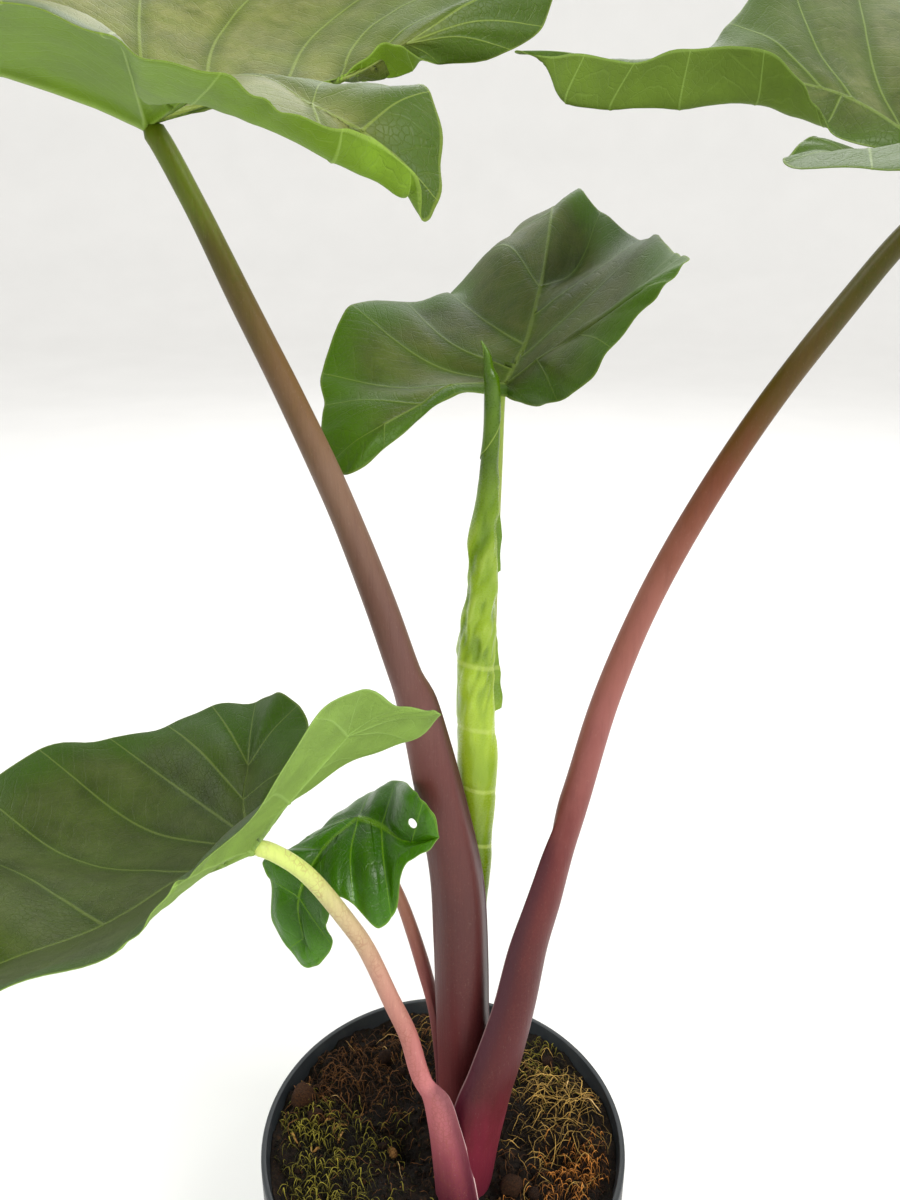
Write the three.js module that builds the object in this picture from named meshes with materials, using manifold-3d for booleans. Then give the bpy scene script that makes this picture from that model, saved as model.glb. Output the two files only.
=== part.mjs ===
// A potted imperial red alocasia: nursery pot, potting soil, buried rhizome, five stalks with their
// sheaths, five leaf blades and one new leaf that is still rolled up.
// Millimetres, +Z up. The origin is the middle of the pot's underside. -Y is the side seen in front.

import * as THREE from "three";
import { mergeVertices } from "three/addons/utils/BufferGeometryUtils.js";
import Module from "manifold-3d";

const wasm = await Module();
wasm.setup();

// Driving dimensions

const gap = 0.35; // clear space between pieces that touch
const jointGap = 0.8; // the same between a stalk's end and its blade

const pot = {
  height: 150,
  rimRadius: 95,
  baseRadius: 68,
  wall: 1.6,
  floor: 2.4,
  bandHeight: 19,
  bandStep: 3.2,
  holes: 8,
  holeRadius: 5,
  holeCircle: 50,
  lip: 3, // width of the rim's top edge with its rounded corners
  corner: 1, // height of a rounded corner
  shoulder: 2.2, // how far the wall steps out inside the band
  sides: 40,
  holeSides: 12,
};

const soil = {
  level: 144, // at the pot's wall
  edge: 90, // radius of its top
  lump: 2.4,
  hollow: 9, // depth of the dip round the stalks
  hollowCentre: [8, -22],
  hollowRadius: 38,
  rings: 6,
  sides: 40,
};

const rhizome = {
  top: 112,
  bottom: 64,
  radius: 31,
  centre: [8, -3],
  taper: 0.82, // how far the foot draws in
  scars: 9, // rings along it, of which every other one is a leaf scar
  scar: 0.8, // depth of a leaf scar
  crown: 27, // radius of its flat top
  topRing: 0.96, // height of the highest ring, as a share of the whole
  sides: 20,
};

const blade = {
  thickness: 1.0,
  midribRidge: 2.6,
  lobeRidge: 1.6,
  crown: 0.07, // how far a cross line bows up, as a share of its length
  ruffle: 1.6, // height of the waves along the margin
  rows: 2, // lines of vertices from one vein to the next
  across: 5, // strips from the vein to the margin
};

const stalkSides = { back: 10, front: 8 };

// Colours

const finish = (color, roughness) => new THREE.MeshStandardMaterial({ color, roughness, metalness: 0 });
const potBlack = finish(0x24282b, 0.5);
const peat = finish(0x3a2a1c, 0.95);
const tuber = finish(0x7a5a3c, 0.8);
const maroonStalk = finish(0x7a4450, 0.5);
const roseStalk = finish(0xa05566, 0.45);
const paleStalk = finish(0xc9a889, 0.5);
const limeStalk = finish(0xb5c68a, 0.5);
const leafGreen = finish(0x4f6434, 0.55);
const youngGreen = finish(0x3f7a14, 0.35);
const rolledGreen = finish(0x86b42a, 0.4);

// Helpers

const vector = (p) => new THREE.Vector3(...p);

const curveThrough = (points) => new THREE.CatmullRomCurve3(points.map(vector));

// The point at position s of a curve whose control points stand at 0, 1, 2 and so on
function at(curve, s) {
  const last = curve.points.length - 1;
  return curve.getPoint(THREE.MathUtils.clamp(s / last, 0, 1));
}

// The value at position s of a list of numbers
function between(values, s) {
  const i = Math.min(Math.floor(s), values.length - 2);
  return THREE.MathUtils.lerp(values[i], values[i + 1], s - i);
}

function geometryOf(points, triangles) {
  const geometry = new THREE.BufferGeometry();
  geometry.setAttribute("position", new THREE.BufferAttribute(new Float32Array(points.flat()), 3));
  geometry.setIndex(triangles.flat());
  return geometry;
}

function solidOf(geometry) {
  const bare = geometry.clone();
  bare.deleteAttribute("normal");
  bare.deleteAttribute("uv");
  const merged = mergeVertices(bare, 1e-4);
  return new wasm.Manifold(new wasm.Mesh({
    numProp: 3,
    vertProperties: new Float32Array(merged.attributes.position.array),
    triVerts: new Uint32Array(merged.index.array),
  }));
}

// The largest body of a solid, as a geometry: loose scraps of a cut are dropped
function geometryFrom(solid) {
  const bodies = solid.decompose().sort((a, b) => b.volume() - a.volume());
  const mesh = bodies[0].getMesh();
  const geometry = new THREE.BufferGeometry();
  geometry.setAttribute("position", new THREE.BufferAttribute(new Float32Array(mesh.vertProperties), 3));
  geometry.setIndex([...mesh.triVerts]);
  return geometry;
}

// A closed skin over rings of equal length, with a point at each end
function loft(rings, first, last) {
  const count = rings[0].length;
  const points = [...rings.flat(), first, last];
  const triangles = [];
  for (let r = 0; r < rings.length - 1; r += 1) {
    for (let i = 0; i < count; i += 1) {
      const a = r * count + i;
      const b = r * count + (i + 1) % count;
      triangles.push([a, b, b + count], [a, b + count, a + count]);
    }
  }
  const end = (rings.length - 1) * count;
  for (let i = 0; i < count; i += 1) {
    const next = (i + 1) % count;
    triangles.push([points.length - 2, next, i], [points.length - 1, end + i, end + next]);
  }
  return geometryOf(points, triangles);
}

// Pot: one wall with a wider band at the rim, a flat floor and a ring of drain holes

const potRadius = (z) => THREE.MathUtils.lerp(pot.baseRadius, pot.rimRadius - pot.bandStep, z / pot.height);

function potGeometry() {
  const bandFoot = pot.height - pot.bandHeight;
  const inner = (z) => potRadius(z) - pot.wall;
  const profile = [
    [0, 0],
    [pot.baseRadius - 1.5 * pot.corner, 0],
    [pot.baseRadius, 1.5 * pot.corner],
    [potRadius(bandFoot), bandFoot],
    [pot.rimRadius - pot.corner, bandFoot + 0.8 * pot.corner],
    [pot.rimRadius, bandFoot + 2 * pot.corner],
    [pot.rimRadius, pot.height - pot.corner],
    [pot.rimRadius - 0.8 * pot.corner, pot.height],
    [pot.rimRadius - 0.8 * pot.lip, pot.height],
    [pot.rimRadius - pot.lip, pot.height - pot.corner],
    [inner(bandFoot) + pot.shoulder, bandFoot + 3.5 * pot.corner],
    [inner(bandFoot), bandFoot],
    [inner(pot.floor), pot.floor],
    [0, pot.floor],
  ].map(([r, z]) => new THREE.Vector2(r, z));
  const body = new THREE.LatheGeometry(profile, pot.sides);
  body.rotateX(Math.PI / 2);
  let solid = solidOf(body);
  for (let i = 0; i < pot.holes; i += 1) {
    const angle = (2 * Math.PI * (i + 0.5)) / pot.holes;
    const drill = new THREE.CylinderGeometry(pot.holeRadius, pot.holeRadius, 4 * pot.floor, pot.holeSides);
    drill.rotateX(Math.PI / 2);
    drill.translate(pot.holeCircle * Math.cos(angle), pot.holeCircle * Math.sin(angle), pot.floor / 2);
    solid = solid.subtract(solidOf(drill));
  }
  return geometryFrom(solid);
}

// Stalks: each station gives the centre, half the width across the groove, half the depth, and how
// far the sheath has opened, from 0 for a round stalk to 1. The groove faces the given direction.

const stalks = {
  left: {
    groove: [0.35, 1, 0],
    rings: 19,
    stations: [
      [[11, 4, 100], 12, 11, 1], [[11, 4, 131], 12.5, 11.5, 1], [[10, 2, 197], 13, 11, 1],
      [[9, 1, 237], 12.9, 10.5, 1], [[8, 0, 275], 12.8, 10, 1], [[6, -1, 312], 12.1, 9.4, 1],
      [[-2, -4, 363], 10.4, 8.6, 0.9], [[-11, -8, 410], 8.6, 7.6, 0.4], [[-15, -9, 422], 7, 7, 0],
      [[-25, -12, 457], 6.4, 6.4, 0], [[-39, -16, 500], 5.7, 5.7, 0], [[-54, -20, 539], 5.1, 5.1, 0],
      [[-69, -24, 575], 4.5, 4.5, 0], [[-82, -28, 607], 3.9, 3.9, 0], [[-92, -29.6, 627.5], 3.8, 3.8, 0],
    ],
  },
  right: {
    groove: [-1, 0.55, 0],
    rings: 19,
    stations: [
      [[10, -15, 100], 14, 12, 1], [[12, -15, 131], 15, 12.5, 1], [[14, -15, 154], 16, 13, 1],
      [[21, -14, 193], 15.8, 12.4, 1], [[26, -14, 213], 14, 11.6, 1], [[34, -12, 249], 11.2, 10.4, 0.95],
      [[40, -10, 283], 10.1, 9.4, 0.9], [[46, -9, 307], 9.8, 8.6, 0.75], [[52, -7, 333], 8.4, 7.6, 0.45],
      [[59, -5, 358], 6.6, 6.6, 0], [[71, 0, 406], 5.9, 5.9, 0], [[87, 4, 451], 5.4, 5.4, 0],
      [[107, 6, 494], 5.1, 5.1, 0], [[129, 6, 534], 4.8, 4.8, 0], [[153, 3, 572], 4.5, 4.5, 0],
      [[167, 0, 593], 4.3, 4.3, 0], [[182, -5, 611], 4.1, 4.1, 0],
    ],
  },
  low_left: {
    groove: [0.75, 0.65, 0],
    rings: 15,
    stations: [
      [[7, -24, 100], 12.5, 9, 1], [[6, -25, 135], 11.6, 8.6, 1], [[3, -26, 164], 10, 7.4, 1],
      [[0, -26, 185], 8.6, 6.4, 0.9], [[-4, -27, 206], 7.4, 5.6, 0.8], [[-10, -28, 219], 4.8, 4.8, 0.1],
      [[-16, -29, 246], 4.3, 4.3, 0], [[-23, -32, 269], 4.1, 4.1, 0], [[-33, -36, 302], 3.9, 3.9, 0],
      [[-39, -40, 318], 3.8, 3.8, 0], [[-57, -50, 355], 3.6, 3.6, 0], [[-71, -58, 371], 3.4, 3.4, 0],
    ],
  },
  back: {
    groove: [0, -1, 0],
    rings: 12,
    stations: [
      [[12, 24, 100], 6.6, 5.6, 0.6], [[13, 24, 147], 6, 5.2, 0.6], [[16, 24, 218], 5, 4.8, 0.3],
      [[18, 25, 280], 4.2, 4.2, 0], [[19, 25, 338], 3.9, 3.9, 0], [[20, 26, 392], 3.7, 3.7, 0],
      [[21, 29, 431], 3.6, 3.6, 0], [[22, 33, 470], 3.4, 3.4, 0], [[23, 37, 500], 3.3, 3.3, 0],
      [[24, 43, 527], 3.2, 3.2, 0], [[24.7, 44.2, 531.5], 3.2, 3.2, 0],
    ],
  },
  small: {
    groove: [0.9, -0.4, 0],
    rings: 12,
    stations: [
      [[2, 17, 100], 5, 4.4, 0.7], [[1, 16, 150], 4.6, 4.2, 0.7], [[-1, 15, 190], 4.2, 3.9, 0.5],
      [[-4, 14, 220], 3.9, 3.8, 0.3], [[-10, 12, 250], 3.6, 3.6, 0], [[-15, 9, 274], 3.3, 3.3, 0],
      [[-20, 7, 294], 2.9, 2.9, 0], [[-25, 5, 310], 2.6, 2.6, 0], [[-31, 2, 328], 2.2, 2.2, 0],
      [[-36, -0.6, 343], 2.1, 2.1, 0],
    ],
  },
};

const wingReach = 0.55; // how far the sheath's wings stand past the middle, as a share of the width
const wingTip = 0.97;
const grooveWidth = 0.8;
const grooveDepth = 0.4;

// The outline of a stalk: half an ellipse at the back, then the front, which is the other half of it on
// a round stalk and two thin wings with a hollow between them on an open sheath
function stalkOutline(across, deep, sheath) {
  const outline = [];
  for (let i = 0; i <= stalkSides.back; i += 1) {
    const turn = Math.PI * (i / stalkSides.back - 0.5);
    outline.push(new THREE.Vector2(across * Math.sin(turn), -deep * Math.cos(turn)));
  }
  for (let i = 1; i < stalkSides.front; i += 1) {
    const turn = (Math.PI * i) / stalkSides.front;
    const round = new THREE.Vector2(across * Math.cos(turn), deep * Math.sin(turn));
    const open = new THREE.Vector2(grooveWidth * round.x, -grooveDepth * round.y);
    const atWing = i === 1 || i === stalkSides.front - 1;
    if (atWing) open.set(Math.sign(round.x) * wingTip * across, wingReach * across);
    outline.push(round.lerp(open, sheath));
  }
  return outline;
}

// The same outline moved outward by a distance, square to its sides
function widen(outline, distance) {
  return outline.map((point, i) => {
    const before = outline.at(i - 1);
    const after = outline[(i + 1) % outline.length];
    const sides = [point.clone().sub(before), after.clone().sub(point)];
    const [first, second] = sides.map((side) => new THREE.Vector2(side.y, -side.x).normalize());
    const outward = first.clone().add(second).normalize();
    return point.clone().addScaledVector(outward, distance / Math.max(outward.dot(first), 0.4));
  });
}

function stalkGeometry({ groove, rings, stations }, grow = 0) {
  const path = curveThrough(stations.map((station) => station[0]));
  const [across, deep, sheath] = [1, 2, 3].map((i) => stations.map((station) => station[i]));
  const last = stations.length - 1;
  const loops = [];
  const ends = [];
  for (let r = 0; r <= rings; r += 1) {
    const s = (last * r) / rings;
    const along = path.getTangent(s / last);
    const facing = vector(groove).projectOnPlane(along).normalize();
    const side = facing.clone().cross(along);
    const centre = at(path, s);
    if (r === 0) centre.addScaledVector(along, -grow);
    if (r === rings) centre.addScaledVector(along, grow);
    const outline = widen(stalkOutline(between(across, s), between(deep, s), between(sheath, s)), grow);
    loops.push(outline.map(({ x, y }) => (
      centre.clone().addScaledVector(side, x).addScaledVector(facing, y).toArray()
    )));
    if (r === 0 || r === rings) {
      const back = (grooveDepth + 1) / 2 * between(deep, s) * between(sheath, s);
      ends.push(centre.addScaledVector(facing, -back).toArray());
    }
  }
  return loft(loops, ...ends);
}

// Rolled leaf: a spindle wound in a spiral, whose free edge makes a low step that climbs round it.
// Each station gives the centre and the radius.

const rolledLeaf = {
  sides: 16,
  rings: 26,
  step: 0.13, // height of the spiral's edge, as a share of the radius
  turns: 1.3, // turns of the edge from foot to tip
  stations: [
    [[11, 8, 100], 4.4], [[13, 8, 200], 4.4], [[16, 9, 280], 4.8], [[17, 9, 307], 5.7],
    [[17, 9, 321], 6.7], [[16, 9, 335], 7.7], [[16, 9, 349], 8.5], [[16, 8, 363], 9.1],
    [[16, 8, 378], 9.1], [[15, 8, 396], 8.6], [[15, 7, 415], 8.6], [[15, 7, 430], 8.4],
    [[16, 7, 444], 7.6], [[17, 6, 458], 6.6], [[17, 6, 472], 6.1], [[18, 6, 485], 5.4],
    [[19, 6, 498], 4.6], [[19, 5, 507], 3.8], [[20, 5, 520], 3.4], [[20, 5, 534], 3.2],
    [[19.5, 4, 543], 3], [[18.4, 4, 547], 2], [[18, 4, 551], 1.5], [[17, 4, 554], 1],
    [[15.5, 4, 557], 0.4],
  ],
};

function rolledLeafGeometry(grow = 0) {
  const { sides, rings, step, turns, stations } = rolledLeaf;
  const path = curveThrough(stations.map((station) => station[0]));
  const radii = stations.map((station) => station[1]);
  const last = stations.length - 1;
  const loops = [];
  for (let r = 0; r <= rings; r += 1) {
    const s = (last * r) / rings;
    const centre = at(path, s);
    const loop = [];
    for (let i = 0; i < sides; i += 1) {
      const turn = (2 * Math.PI * i) / sides;
      const wound = (((turn / (2 * Math.PI) - (turns * r) / rings) % 1) + 1) % 1;
      const radius = between(radii, s) * (1 + step * (wound - 0.5)) + grow;
      loop.push([centre.x + radius * Math.cos(turn), centre.y + radius * Math.sin(turn), centre.z]);
    }
    loops.push(loop);
  }
  return loft(loops, stations[0][0], stations[last][0]);
}

// Blades. A blade has a midrib, from its tip to the joint where the stalk meets it, and two halves.
// A half has the main vein of its lobe, from the joint to the lobe's end, and a row of ribs. A rib is a
// cross line of the sheet: its place on the veins, then the points from there to the margin. Places run
// from 0 at the tip through the joint to the lobe's end, and back to the joint along the lobe's inner
// side, so one row of ribs goes round the whole half.

const back = {
  up: [0, -1, 1],
  midrib: [
    [60, 206, 570], [57, 172, 597], [53, 132, 601], [44, 82, 570], [36, 58, 548], [28, 45, 533],
  ],
  left: {
    vein: [[4, 31, 535], [-8, 17, 530], [-22, 3, 525]],
    ribs: [
      [0, [60, 206, 570]],
      [1, [46, 180, 594], [30, 186, 558]],
      [2, [33, 146, 588], [14, 166, 558]],
      [3, [28, 124, 586], [4, 148, 560]],
      [4, [18, 86, 556], [3, 112, 565]],
      [4.6, [3, 66, 548], [-17, 90, 563]],
      [5, [-7, 52, 542], [-39, 64, 564]],
      [6, [-21, 30, 535], [-49, 32, 540]],
      [7, [-47, 16, 530]],
      [8, [-47, 6, 522]],
      [8, [-41, -4, 513]],
      [8, [-36, -10, 509]],
      [8, [-22, -4, 517]],
      [7, [-8, 10, 526]],
      [6, [6, 25, 533]],
      [5, [28, 37, 530]],
    ],
  },
  right: {
    vein: [[39, 30, 546], [54, 10, 558], [69, -10, 574]],
    ribs: [
      [0, [60, 206, 570]],
      [1, [76, 184, 584]],
      [2, [67, 152, 611]],
      [3, [61, 100, 576], [75, 122, 601]],
      [3.5, [69, 72, 579], [88, 84, 590]],
      [4.3, [68, 52, 574], [88, 56, 593]],
      [5, [63, 22, 563], [88, 12, 588]],
      [6, [67, 5, 570], [87, -6, 588]],
      [7, [85, -22, 587]],
      [8, [79, -26, 581]],
      [7, [73, -19, 572]],
      [7, [62, -15, 557]],
      [6, [54, -14, 545]],
      [6, [45, 0, 535]],
      [5, [36, 20, 530]],
      [5, [28, 37, 530]],
    ],
  },
};
const low_left = {
  up: [0, -0.2, 1],
  midrib: [
    [-232, -170, 340], [-188, -152, 366], [-142, -130, 377], [-116, -106, 373], [-91, -80, 376],
    [-74, -60, 372],
  ],
  left: {
    vein: [[-81, -36, 378], [-83, -14, 381]],
    ribs: [
      [0, [-232, -170, 340]],
      [1, [-212, -116, 378]],
      [2, [-196, -66, 390]],
      [3, [-211, -34, 353]],
      [4, [-147, -52, 360], [-198, -18, 370]],
      [5, [-122, -36, 364], [-178, 0, 381]],
      [5.2, [-115, -16, 373], [-150, 10, 381]],
      [6, [-125, 16, 384]],
      [7, [-106, 24, 390]],
      [7, [-85, 22, 393]],
      [7, [-74, 14, 402]],
      [7, [-63, 4, 401]],
      [7, [-57, -10, 398]],
      [6, [-58, -30, 392]],
      [5, [-71, -50, 371]],
    ],
  },
  right: {
    vein: [[-54, -84, 410], [-33, -76, 432]],
    ribs: [
      [0, [-232, -170, 340]],
      [1, [-183, -169, 380], [-177, -190, 390]],
      [2, [-134, -163, 399], [-119, -196, 424]],
      [3, [-112, -151, 398], [-106, -194, 428]],
      [4, [-88, -129, 400], [-84, -176, 424]],
      [4.5, [-82, -116, 398], [-79, -166, 425]],
      [5, [-74, -107, 401], [-74, -156, 429]],
      [5.3, [-70, -150, 429]],
      [6, [-53, -128, 438]],
      [7, [-39, -106, 455]],
      [7, [-26, -86, 455]],
      [7, [-14, -72, 441]],
      [7, [-4, -64, 435]],
      [7, [0, -58, 430]],
      [7, [-11, -54, 417]],
      [6.5, [-30, -56, 411]],
      [6, [-54, -60, 396]],
      [5, [-71, -50, 371]],
    ],
  },
};
const left = {
  up: [0, -0.2, 1],
  midrib: [
    [-372, -62, 560], [-325, -58, 602], [-262, -54, 634], [-196, -48, 650], [-134, -42, 644],
    [-94, -30, 630],
  ],
  left: {
    vein: [[-69, -8, 639], [-40, 12, 645], [-30, 20, 649], [-13, 34, 660]],
    ribs: [
      [0, [-372, -62, 560]],
      [1, [-350, -18, 606]],
      [2, [-318, 18, 650]],
      [3, [-262, 58, 680]],
      [4, [-195, 88, 698]],
      [5, [-108, 26, 667], [-122, 108, 708]],
      [5.6, [-82, 38, 663], [-52, 122, 714]],
      [6.5, [-48, 46, 664], [4, 120, 711]],
      [7.3, [-28, 48, 666], [30, 110, 704]],
      [8, [-10, 48, 668], [48, 98, 696]],
      [9, [46, 76, 686]],
      [9, [40, 66, 670]],
      [9, [27, 57, 661]],
      [9, [0, 45, 654]],
      [8.6, [-11, 38, 652], [-12, 26, 657]],
      [8.3, [-20, 34, 649], [-19, 22, 659]],
      [8, [-30, 26, 647], [-28, 20, 653]],
      [7.6, [-40, 14, 644]],
      [6.8, [-55, 3, 641]],
      [6, [-69, -8, 637]],
      [5, [-91, -24, 631]],
    ],
  },
  right: {
    vein: [[-72, -48, 639], [-50, -66, 639], [-33, -90, 630], [-19, -104, 623]],
    ribs: [
      [0, [-372, -62, 560]],
      [1, [-318, -112, 603]],
      [2, [-250, -150, 632]],
      [3, [-172, -168, 646]],
      [4, [-84, -160, 643]],
      [5, [-66, -158, 638]],
      [5.5, [-76, -100, 631], [-58, -152, 634]],
      [6, [-59, -115, 629], [-45, -148, 632]],
      [7, [-49, -122, 626], [-38, -142, 628]],
      [7.5, [-40, -128, 623], [-32, -140, 625]],
      [8, [-24, -126, 616], [-21, -134, 622]],
      [8.5, [-16, -120, 612], [-15, -126, 620]],
      [9, [-8, -112, 608], [-6, -117, 614]],
      [9, [-3, -106, 602]],
      [9, [0, -100, 607]],
      [9, [1, -92, 619]],
      [9, [-2, -84, 634]],
      [8, [-13, -76, 636]],
      [8, [-32, -66, 638]],
      [7, [-53, -54, 640]],
      [6, [-74, -38, 636]],
      [5, [-91, -24, 631]],
    ],
  },
};
const right = {
  up: [0, -0.3, 1],
  midrib: [
    [446, -56, 530], [408, -50, 575], [355, -40, 608], [295, -28, 627], [238, -16, 626],
    [184, -6, 613],
  ],
  left: {
    vein: [[163, 6, 630], [148, 15, 640], [138, 20, 644], [102, 24, 650], [66, 28, 650]],
    ribs: [
      [0, [446, -56, 530]],
      [1, [436, -10, 580]],
      [2, [404, 40, 636]],
      [3, [350, 82, 668]],
      [4, [286, 110, 686]],
      [5, [178, 22, 645], [214, 122, 696]],
      [6, [161, 26, 645], [176, 116, 702]],
      [7, [142, 46, 661], [142, 98, 698]],
      [8, [114, 66, 671]],
      [9, [103, 58, 661]],
      [10, [76, 48, 656]],
      [10, [45, 38, 656]],
      [10, [28, 30, 657]],
      [10, [41, 25, 648], [39, 26, 655]],
      [10, [46, 20, 640], [52, 22, 655]],
      [9.6, [61, 15, 637], [69, 14, 652]],
      [9.2, [85, 10, 637], [87, 8, 655]],
      [8.8, [112, 9, 639], [111, 2, 654]],
      [8, [125, 8, 634], [123, -2, 645]],
      [7.4, [136, 6, 631], [130, 0, 637]],
      [7, [145, 3, 627], [140, 1, 627]],
      [6, [162, 0, 622]],
      [5, [177, -8, 614]],
    ],
  },
  right: {
    vein: [[150, -50, 616], [118, -80, 617]],
    ribs: [
      [0, [446, -56, 530]],
      [1, [402, -100, 578]],
      [2, [350, -140, 612]],
      [3, [285, -165, 630]],
      [4, [225, -170, 628]],
      [5, [172, -162, 622]],
      [6, [130, -148, 616]],
      [7, [104, -126, 614]],
      [7, [91, -100, 616]],
      [7, [96, -90, 619]],
      [7, [102, -82, 623]],
      [6.5, [118, -68, 619]],
      [6, [144, -44, 620]],
      [5, [177, -8, 614]],
    ],
  },
};
const small = {
  up: [0, -1, 1],
  midrib: [[-1, -24, 352], [-9, -22, 348], [-17, -18, 346], [-27, -9, 347], [-38, -2, 347]],
  left: {
    vein: [[-48, 5, 339], [-59, 6, 331]],
    ribs: [
      [0, [-1, -24, 352]],
      [1, [-4, -23, 363]],
      [1.5, [-8, -21, 368]],
      [2, [-12, -15, 370]],
      [3, [-21, 10, 359]],
      [4, [-34, 22, 345]],
      [5, [-46, 22, 334]],
      [6, [-58, 18, 327]],
      [6, [-67, 10, 324]],
      [6, [-71, 4, 324]],
      [5, [-60, 0, 331]],
      [4, [-44, 0, 342]],
    ],
  },
  right: {
    vein: [[-53, -14, 338], [-63, -25, 321], [-61, -31, 304]],
    ribs: [
      [0, [-1, -24, 352]],
      [1, [-6, -29, 348]],
      [2, [-16, -26, 344], [-14, -32, 345]],
      [3, [-25, -25, 338], [-22, -36, 320]],
      [3.5, [-29, -27, 337], [-27, -40, 317]],
      [4, [-40, -20, 340], [-38, -36, 326]],
      [4.5, [-45, -34, 328]],
      [5, [-50, -35, 315]],
      [6, [-48, -35, 303]],
      [7, [-53, -35, 295]],
      [7, [-59, -35, 291]],
      [7, [-68, -31, 298]],
      [6, [-75, -25, 308]],
      [6, [-76, -19, 326]],
      [5, [-80, -15, 332]],
      [5, [-68, -6, 334]],
      [4, [-44, 0, 342]],
    ],
  },
};

// The sheet of a blade: vertices with their place in it, and triangles with the upper side out
function bladeSheet({ up, midrib, left, right }, rows, across) {
  const vertices = [];
  const triangles = [];
  const known = new Map();
  const joint = midrib.length - 1;
  const ridge = curveThrough(midrib);
  const upward = vector(up).normalize();
  const vertexAt = (point, t, place, edge) => {
    const key = point.toArray().map((c) => Math.round(c * 1e3)).join();
    if (!known.has(key)) {
      known.set(key, vertices.length);
      vertices.push({ point, t, place, edge });
    }
    return known.get(key);
  };
  for (const [half, mirror] of [[left, 1], [right, -1]]) {
    const vein = curveThrough([midrib[joint], ...half.vein]);
    const axisPoint = (place) => (place <= joint ? at(ridge, place) : at(vein, place - joint));
    const places = half.ribs.map((rib) => rib[0]);
    const margins = half.ribs.map((rib) => rib[rib.length - 1]);
    const middles = half.ribs.map((rib) => {
      if (rib.length > 2) return rib[1];
      const root = axisPoint(rib[0]);
      const tip = vector(rib[1]);
      const lift = blade.crown * root.distanceTo(tip);
      return root.lerp(tip, 0.5).addScaledVector(upward, lift).toArray();
    });
    const marginCurve = curveThrough(margins);
    const middleCurve = curveThrough(middles);
    const lastRib = places.length - 1;
    let previous = null;
    for (let k = 0; k <= lastRib * rows; k += 1) {
      const s = k / rows;
      const place = Math.round(between(places, s) * rows) / rows;
      const line = new THREE.CatmullRomCurve3([axisPoint(place), at(middleCurve, s), at(marginCurve, s)]);
      const wave = Math.sin(2 * Math.PI * s) * Math.min(1, s, lastRib - s);
      const current = [];
      for (let j = 0; j <= across; j += 1) {
        const t = j / across;
        current.push(vertexAt(line.getPoint(t), t, place, wave * t * t));
      }
      if (previous) {
        for (let j = 0; j < across; j += 1) {
          const quad = [previous[j], current[j], current[j + 1], previous[j + 1]];
          for (const triple of [[quad[0], quad[1], quad[2]], [quad[0], quad[2], quad[3]]]) {
            if (new Set(triple).size < 3) continue;
            triangles.push(mirror > 0 ? triple : [...triple].reverse());
          }
        }
      }
      previous = current;
    }
  }
  orient(vertices, triangles, upward);
  return { vertices, triangles, joint };
}

function normalsOf(vertices, triangles) {
  const normals = vertices.map(() => new THREE.Vector3());
  for (const [a, b, c] of triangles) {
    const first = vertices[b].point.clone().sub(vertices[a].point);
    const second = vertices[c].point.clone().sub(vertices[a].point);
    const area = first.cross(second);
    for (const i of [a, b, c]) normals[i].add(area);
  }
  return normals.map((n) => n.normalize());
}

// Turns all triangles over if most of the sheet would face away from its upper side
function orient(vertices, triangles, upward) {
  const sum = new THREE.Vector3();
  for (const [a, b, c] of triangles) {
    const first = vertices[b].point.clone().sub(vertices[a].point);
    sum.add(first.cross(vertices[c].point.clone().sub(vertices[a].point)));
  }
  if (sum.dot(upward) < 0) triangles.forEach((triple) => triple.reverse());
}

// A blade as a closed solid: the sheet's two faces, alike, and a rim round its margin
function bladeGeometry(shape, grow = 0) {
  const { vertices, triangles, joint } = bladeSheet(shape, blade.rows, blade.across);
  const flat = normalsOf(vertices, triangles);
  vertices.forEach((vertex, i) => vertex.point.addScaledVector(flat[i], blade.ruffle * vertex.edge));
  const normals = normalsOf(vertices, triangles);
  const half = blade.thickness / 2 + grow;
  const used = new Set(triangles.flatMap(([a, b, c]) => [`${a},${b}`, `${b},${c}`, `${c},${a}`]));
  const edges = [...used].map((edge) => edge.split(",").map(Number));
  const rim = edges.filter(([a, b]) => !used.has(`${b},${a}`));
  const sides = vertices.map(() => []);
  for (const [a, b] of rim) {
    const side = vertices[b].point.clone().sub(vertices[a].point).normalize().cross(normals[a]);
    sides[a].push(side);
    sides[b].push(side);
  }
  sides.forEach((meeting, i) => {
    if (!meeting.length) return;
    const outward = meeting.reduce((sum, side) => sum.add(side), new THREE.Vector3()).normalize();
    vertices[i].point.addScaledVector(outward, grow / Math.max(outward.dot(meeting[0]), 0.2));
  });
  const above = vertices.map(({ point }, i) => point.clone().addScaledVector(normals[i], half).toArray());
  const below = vertices.map(({ point, t, place }, i) => {
    let ridge = 0;
    if (t === 0) ridge = place <= joint ? blade.midribRidge * (place / joint) : blade.lobeRidge;
    return point.clone().addScaledVector(normals[i], -half - ridge).toArray();
  });
  const count = vertices.length;
  const faces = [...triangles, ...triangles.map(([a, b, c]) => [c + count, b + count, a + count])];
  for (const [a, b] of rim) faces.push([b, a, a + count], [b, a + count, b + count]);
  return geometryOf([...above, ...below], faces);
}

// Rhizome: a short thick tuber with the rings of old leaf scars

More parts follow.
